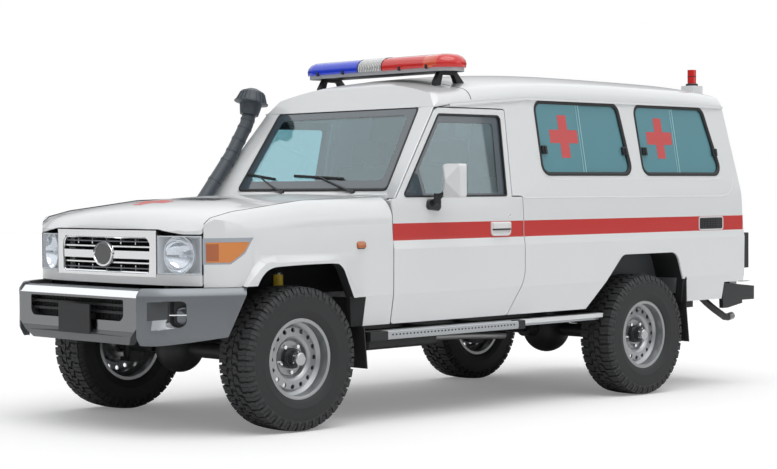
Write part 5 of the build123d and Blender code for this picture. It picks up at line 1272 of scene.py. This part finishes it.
# ---------------------------------------------------------------- mud flaps and underbody
# Black rubber flaps hang behind the wheels. Frame, axles and springs are painted black; a shielded
# silencer lies beside the gearbox and its pipe runs back over the axle.
flap_rubber = finish("flap_rubber", (0.020, 0.021, 0.022), 0.6)
dressed("mud_flaps", [flap_rubber])
chassis_black = finish("chassis_black", (0.022, 0.023, 0.025), 0.45)
cast_black = finish("cast_black", (0.040, 0.041, 0.043), 0.5, metallic=0.3)
for node, material in (("ladder_frame", chassis_black), ("leaf_springs", chassis_black),
                       ("fuel_tank", chassis_black),
                       ("driveline", cast_black), ("front_axle", cast_black), ("rear_axle", cast_black),
                       ("knuckle_left", cast_black), ("knuckle_right", cast_black)):
    dressed(node, [material], bend=40)
for hand, side in ((1, "left"), (-1, "right")):
    sheet = [(-3403, 700), (-3412, 700), (-3415, 528), (-3406, 528)]
    surface(f"flap_top_{side}", [[(x, hand * y, z) for x, z in sheet] for y in (770, 850)], flap_rubber)
steel_pipe = finish("steel_pipe", (0.30, 0.30, 0.30), 0.35, metallic=0.9)


def tube(name, line, radius, material):
    """Round pipe along a line of points in mm."""
    loops = []
    for i, point in enumerate(line):
        along = (Vector(line[min(i + 1, len(line) - 1)]) - Vector(line[max(i - 1, 0)])).normalized()
        side_way = along.cross(Vector((0, 0, 1))).normalized()
        over = side_way.cross(along)
        loops.append([tuple(Vector(point) + side_way * a + over * b) for a, b in circle(radius, 16)])
    return surface(name, loops, material, bend=50)


shield = [(250, 352, 30), (470, 352, 30), (470, 440, 30), (250, 440, 30)]
surface("silencer_shield", [[(x, y, z) for y, z in rounded(shrink(shield, inset))] for x, inset in
                            ((-860, 24), (-880, 0), (-1440, 0), (-1460, 24))], chassis_black)
tube("exhaust_front", [(-520, 330, 420), (-640, 350, 405), (-760, 360, 398), (-866, 360, 396)], 27, cast_black)
tube("exhaust_rear", [(-1454, 380, 396), (-1600, 420, 396), (-1760, 440, 392), (-1960, 440, 380),
                      (-2080, 430, 372)], 25, steel_pipe)
tube("tail_pipe", [(-3780, 690, 548), (-3842, 697, 502), (-3930, 700, 452), (-4045, 700, 396),
                   (-4085, 700, 392)], 24, chassis_black)
tube("tail_pipe_tip", [(-4080, 700, 393), (-4130, 700, 401)], 26, steel_pipe)
filter_yellow = finish("filter_yellow", (0.75, 0.52, 0.02), 0.35)
surface("filter_can", post_loops(-50, 633, ((26, 764), (26, 830)), 24), filter_yellow)
surface("filter_cap", post_loops(-50, 633, ((16, 829), (16, 839)), 24), steel_pipe)

# ---------------------------------------------------------------- drip rails and roof seam
# A drip rail is spot-welded along each side of the roof, with a black strip below it that paints its shadow.
# The seam where the cab roof meets the raised rear roof is filled with dark sealer.
RAIL = [(-1150, 1766), (-1273, 1784), (-1600, 1811), (-1948, 1838), (-3960, 1838)]
for hand, side in ((1, "left"), (-1, "right")):
    rail = [(-3, -5), (9, -5), (11, 3), (8, 3), (7, -1), (-3, -1)]
    surface(f"drip_rail_{side}", [[(x, hand * (skin_y(z) + out), z + up) for out, up in rail] for x, z in RAIL],
            white_paint)
    # A black strip under the rail paints the rail's shadow.
    surface(f"drip_sealer_{side}",
            [[(x, hand * (skin_y(z) + out), z + up) for out, up in ((-3, -11), (3, -10), (6, -5.2), (-3, -5.2))]
             for x, z in RAIL], black_rubber)
roof_trees = [BVHTree.FromObject(bpy.data.objects[name], bpy.context.evaluated_depsgraph_get())
              for name in ("roof_cab_skin", "roof_rear_skin")]


def on_roof(x, degrees):
    """The roof's outside at a place along it, seen at an angle from inside, and which way it faces."""
    angle = math.radians(degrees)
    inside, out = place(x, 0, 1300), place(x, 1600 * math.cos(angle), 1300 + 1600 * math.sin(angle))
    hits = [tree.ray_cast(out, (inside - out).normalized(), 2.0) for tree in roof_trees]
    hits = [(hit[3], hit[0], hit[1]) for hit in hits if hit[0]]
    return min(hits, key=lambda hit: hit[0])[1:] if hits else None


seam = []
for x in (-1473, -1467):
    line = [on_roof(x, 24 + 132 * k / 120) for k in range(121)]
    seam.append([hit for hit in line if hit])
reach = min(len(line) for line in seam)
seam = [line[:reach] for line in seam]
points = [p + n * lift for line in seam for lift in (0.0009, -0.002) for p, n in line]
faces = []
for k in range(reach - 1):
    a, b, c, d = k, reach + k, 2 * reach + k, 3 * reach + k
    faces += [(a, a + 1, c + 1, c), (b, d, d + 1, b + 1), (a, b, b + 1, a + 1), (c, c + 1, d + 1, d)]
faces += [(0, 2 * reach, 3 * reach, reach), (reach - 1, 2 * reach - 1, 4 * reach - 1, 3 * reach - 1)]
seam_mesh = bpy.data.meshes.new("roof_seam")
seam_mesh.from_pydata(points, [], faces)
turn_outwards(seam_mesh)
settle("roof_seam", seam_mesh, [black_rubber])

# ---------------------------------------------------------------- rear end
# Lamp clusters in black cases with red, amber and clear lenses, a black steel step bumper, and two doors
# on outside hinges. The wide door carries the spare wheel and the handle; its number panel is blank.
lens_amber = finish("rear_amber", (0.80, 0.22, 0.02), 0.12, coat=1.0)
lens_white = finish("rear_white", (0.72, 0.73, 0.74), 0.12, coat=1.0)
rear_red = finish("rear_red", (0.50, 0.012, 0.012), 0.12, coat=1.0)


def lamp_zone(centre, normal):
    """Which colour of the rear lamp a face takes, by its height."""
    if normal.x > -0.6:
        return 0
    return 1 if centre.z < 790 else 2 if centre.z < 845 else 3 if centre.z < 900 else 1


dressed("tail_lamps", [black_plastic, rear_red, lens_white, lens_amber], lamp_zone,
        planes=[((0, 0, z), (0, 0, 1)) for z in (790, 845, 900)])
dressed("rear_bumper", [finish("bumper_black", (0.030, 0.031, 0.033), 0.4)])
dressed("spare_carrier", [chassis_black])
for name in ("rear_glass_left", "rear_glass_right"):
    clad(name, tinted_glass)
REAR_LINE = [(505, -4065), (1000, -4065), (1100, -4056), (1284, -4048), (1838, -3969)]


def rear_skin(z):
    """X of the rear doors' outer skin at a height."""
    return along_line(REAR_LINE, z)


def on_rear(outline, stand):
    """Outline (y, z) as a loop that stands off the rear doors by a distance."""
    return [(rear_skin(z) - stand, y, z) for y, z in outline]


def raised_rear(corners, profile):
    """Loops of a moulding on the rear doors, from the (inset, stand) pairs of its profile."""
    return [on_rear(rounded(shrink(corners, inset)), stand) for inset, stand in profile]


for side, window in (("left", [(216, 1330, 40), (666, 1330, 40), (596, 1700, 40), (216, 1700, 40)]),
                     ("right", [(-666, 1330, 40), (84, 1330, 40), (84, 1700, 40), (-596, 1700, 40)])):
    seal = raised_rear(window, ((-9, -1), (-9, 3), (-2, 4.5), (7, 3), (9, -10), (0, -10)))
    surface(f"rear_seal_{side}", seal, black_rubber, f"rear_door_{side}", joined=True)
panel = [(-70, 1140, 10), (130, 1140, 10), (130, 1232, 10), (-70, 1232, 10)]
surface("rear_panel_frame", raised_rear(panel, ((0, -1), (0, 6), (6, 7), (9, 4))),
        black_plastic, "rear_door_right")
grip = [(92, 1050, 8), (132, 1050, 8), (132, 1120, 8), (92, 1120, 8)]
surface("rear_handle_cup", raised_rear(grip, ((0, -1), (0, 5), (4, 7))),
        black_plastic, "rear_door_right")
surface("rear_handle", raised_rear(grip, ((9, 6), (9, 16), (13, 19))), chrome, "rear_door_right")
for hand, side in ((1, "left"), (-1, "right")):
    for z in (800, 1240, 1640):
        y = skin_y(z) - 30
        leaf = [(hand * (y - 62), z - 26), (hand * y, z - 26), (hand * y, z + 26), (hand * (y - 62), z + 26)]
        surface(f"rear_hinge_{side}_{z}", [on_rear(leaf, stand) for stand in (-1, 5)], white_paint,
                f"rear_door_{side}")
        surface(f"rear_pin_{side}_{z}", post_loops(rear_skin(z) - 7, hand * (y - 4), ((8, z - 30), (8, z + 30)),
                                                   16), white_paint)
tread_plate = finish("step_tread", (0.045, 0.046, 0.048), 0.7)
bump = unit_mesh([[place(*p) for p in loop] for loop in box_loops((-4200, -790, 640), (-4100, -760, 642.5))])
settle("rear_step_ribs", repeated(bump, 27, (0, 0.06, 0), material=tread_plate), [tread_plate])

# ---------------------------------------------------------------- cab interior
# Seats trimmed in grey cloth on black frames, and a moulded grey dashboard with a four-spoked wheel.
cloth = finish("seat_cloth", (0.085, 0.095, 0.105), 0.9)
dressed("seats", [cloth, black_plastic], lambda centre, normal: int(centre.z < 799))
dash_grey = finish("dash_grey", (0.09, 0.10, 0.11), 0.55)
dressed("dashboard", [dash_grey, black_plastic], lambda centre, normal: int(centre.x < -1030))
for side in (1, -1):
    y = side * 360
    surface(f"head_rest_{side}",
            [[(x, y + across, z) for x, z in ((-1716, 1440), (-1650, 1450), (-1662, 1590), (-1712, 1588))]
             for across in (-120, 120)], cloth)
    for along in (-45, 45):
        surface(f"rest_post_{side}_{along}", post_loops(-1690, y + along, ((6, 1400), (6, 1460)), 8), chrome)
bench = finish("bench_blue", (0.055, 0.09, 0.13), 0.6)
for side in (1, -1):
    low, high = sorted((side * 640, side * 330))
    surface(f"bench_base_{side}", box_loops((-3860, low + 12, 640), (-2060, high - 12, 900)), dash_grey)
    surface(f"bench_pad_{side}", box_loops((-3870, low, 900), (-2050, high, 975)), bench)
surface("stretcher", box_loops((-3780, -250, 900), (-2000, 250, 980)), bench)
surface("stretcher_frame", box_loops((-3800, -270, 868), (-1980, 270, 896)), chrome)
for x in (-3500, -2300):
    surface(f"stretcher_leg_{-x}", box_loops((x - 20, -230, 600), (x + 20, 230, 870)), dash_grey)

# ---------------------------------------------------------------- floor, light and camera
# A pale studio floor under a bright sky, with a soft sun from above and a wide lamp on the left.
floor = bpy.data.meshes.new("studio_floor")
floor.from_pydata([(-60, -60, 0), (60, -60, 0), (60, 60, 0), (-60, 60, 0)], [], [(0, 1, 2, 3)])
floor_object = bpy.data.objects.new("studio_floor", floor)
bpy.context.scene.collection.objects.link(floor_object)
pale = finish("pale_floor", (0.86, 0.86, 0.86), 0.8)
nodes_of = pale.node_tree.nodes
lift = nodes_of.new("ShaderNodeEmission")
seen = nodes_of.new("ShaderNodeLightPath")
level = nodes_of.new("ShaderNodeMath")
both = nodes_of.new("ShaderNodeAddShader")
level.operation = "MULTIPLY"
level.inputs[1].default_value = 0.20
pale.node_tree.links.new(seen.outputs["Is Camera Ray"], level.inputs[0])
pale.node_tree.links.new(level.outputs[0], lift.inputs["Strength"])
pale.node_tree.links.new(nodes_of["Principled BSDF"].outputs[0], both.inputs[0])
pale.node_tree.links.new(lift.outputs[0], both.inputs[1])
pale.node_tree.links.new(both.outputs[0], nodes_of["Material Output"].inputs["Surface"])
floor.materials.append(pale)

world = bpy.data.worlds.new("studio")
bpy.context.scene.world = world
world.use_nodes = True
sky = world.node_tree
backdrop = sky.nodes["Background"]
backdrop.inputs["Color"].default_value = (1, 1, 1, 1)
backdrop.inputs["Strength"].default_value = 1.0
glow = sky.nodes.new("ShaderNodeBackground")
glow.inputs["Strength"].default_value = 0.60
height = sky.nodes.new("ShaderNodeSeparateXYZ")
where = sky.nodes.new("ShaderNodeTexCoord")
ramp = sky.nodes.new("ShaderNodeValToRGB")
ramp.color_ramp.elements[0].position, ramp.color_ramp.elements[0].color = 0.02, (0.20, 0.215, 0.23, 1)
ramp.color_ramp.elements[1].position, ramp.color_ramp.elements[1].color = 0.75, (1, 1, 1, 1)
chooser = sky.nodes.new("ShaderNodeMixShader")
mirrored_sky = sky.nodes.new("ShaderNodeBackground")
band = sky.nodes.new("ShaderNodeValToRGB")
picker = sky.nodes.new("ShaderNodeMixShader")
for position, value in ((0.0, 0.10), (0.12, 0.16), (0.30, 0.55), (0.42, 1.0)):
    stop = band.color_ramp.elements.new(position)
    stop.color = (value, value * 1.02, value * 1.04, 1)
band.color_ramp.elements.remove(band.color_ramp.elements[0])
mirrored_sky.inputs["Strength"].default_value = 1.15
rays = sky.nodes.new("ShaderNodeLightPath")
sky.links.new(where.outputs["Generated"], height.inputs["Vector"])
sky.links.new(height.outputs["Z"], ramp.inputs["Fac"])
sky.links.new(ramp.outputs["Color"], glow.inputs["Color"])
sky.links.new(rays.outputs["Is Camera Ray"], chooser.inputs["Fac"])
sky.links.new(height.outputs["Z"], band.inputs["Fac"])
sky.links.new(band.outputs["Color"], mirrored_sky.inputs["Color"])
sky.links.new(rays.outputs["Is Glossy Ray"], picker.inputs["Fac"])
sky.links.new(glow.outputs["Background"], picker.inputs[1])
sky.links.new(mirrored_sky.outputs["Background"], picker.inputs[2])
sky.links.new(picker.outputs["Shader"], chooser.inputs[1])
sky.links.new(backdrop.outputs["Background"], chooser.inputs[2])
sky.links.new(chooser.outputs["Shader"], sky.nodes["World Output"].inputs["Surface"])


def soft_box(name, place_at, aim, size, watts):
    """A large lamp at a place, turned towards another."""
    lamp = bpy.data.lights.new(name, "AREA")
    lamp.shape = "RECTANGLE"
    lamp.size, lamp.size_y = size
    lamp.energy = watts
    holder = bpy.data.objects.new(name, lamp)
    holder.location = place_at
    holder.rotation_euler = (Vector(aim) - Vector(place_at)).to_track_quat("-Z", "Y").to_euler()
    bpy.context.scene.collection.objects.link(holder)


sun = bpy.data.lights.new("key", "SUN")
sun.energy, sun.angle = 1.45, 1.0
key = bpy.data.objects.new("key", sun)
key.rotation_euler = (Vector((0, 0, 0)) - Vector((1.2, 2.6, 8))).to_track_quat("-Z", "Y").to_euler()
bpy.context.scene.collection.objects.link(key)
soft_box("fill", (-5, 9, 4), (-0.5, 0, 1), (6, 4), 60)

camera = bpy.data.cameras.new("camera")
camera.sensor_width = 36
camera.lens = 85.68
camera.shift_x, camera.shift_y = 0.0118, 0.003
view = bpy.data.objects.new("camera", camera)
yaw, pitch, roll = (math.radians(a) for a in (-133.952, -0.871, 0.281))
ahead = Vector((math.cos(pitch) * math.cos(yaw), math.cos(pitch) * math.sin(yaw), math.sin(pitch)))
right = ahead.cross(Vector((0, 0, 1))).normalized()
up = right.cross(ahead)
right, up = right * math.cos(roll) + up * math.sin(roll), up * math.cos(roll) - right * math.sin(roll)
turn = Matrix((right, up, -ahead)).transposed().to_4x4()
view.matrix_world = Matrix.Translation((AXLE_X + 6.5123, 8.2135, 1.1889)) @ turn
bpy.context.scene.collection.objects.link(view)
bpy.context.scene.camera = view
bpy.context.scene.view_settings.view_transform = "Standard"
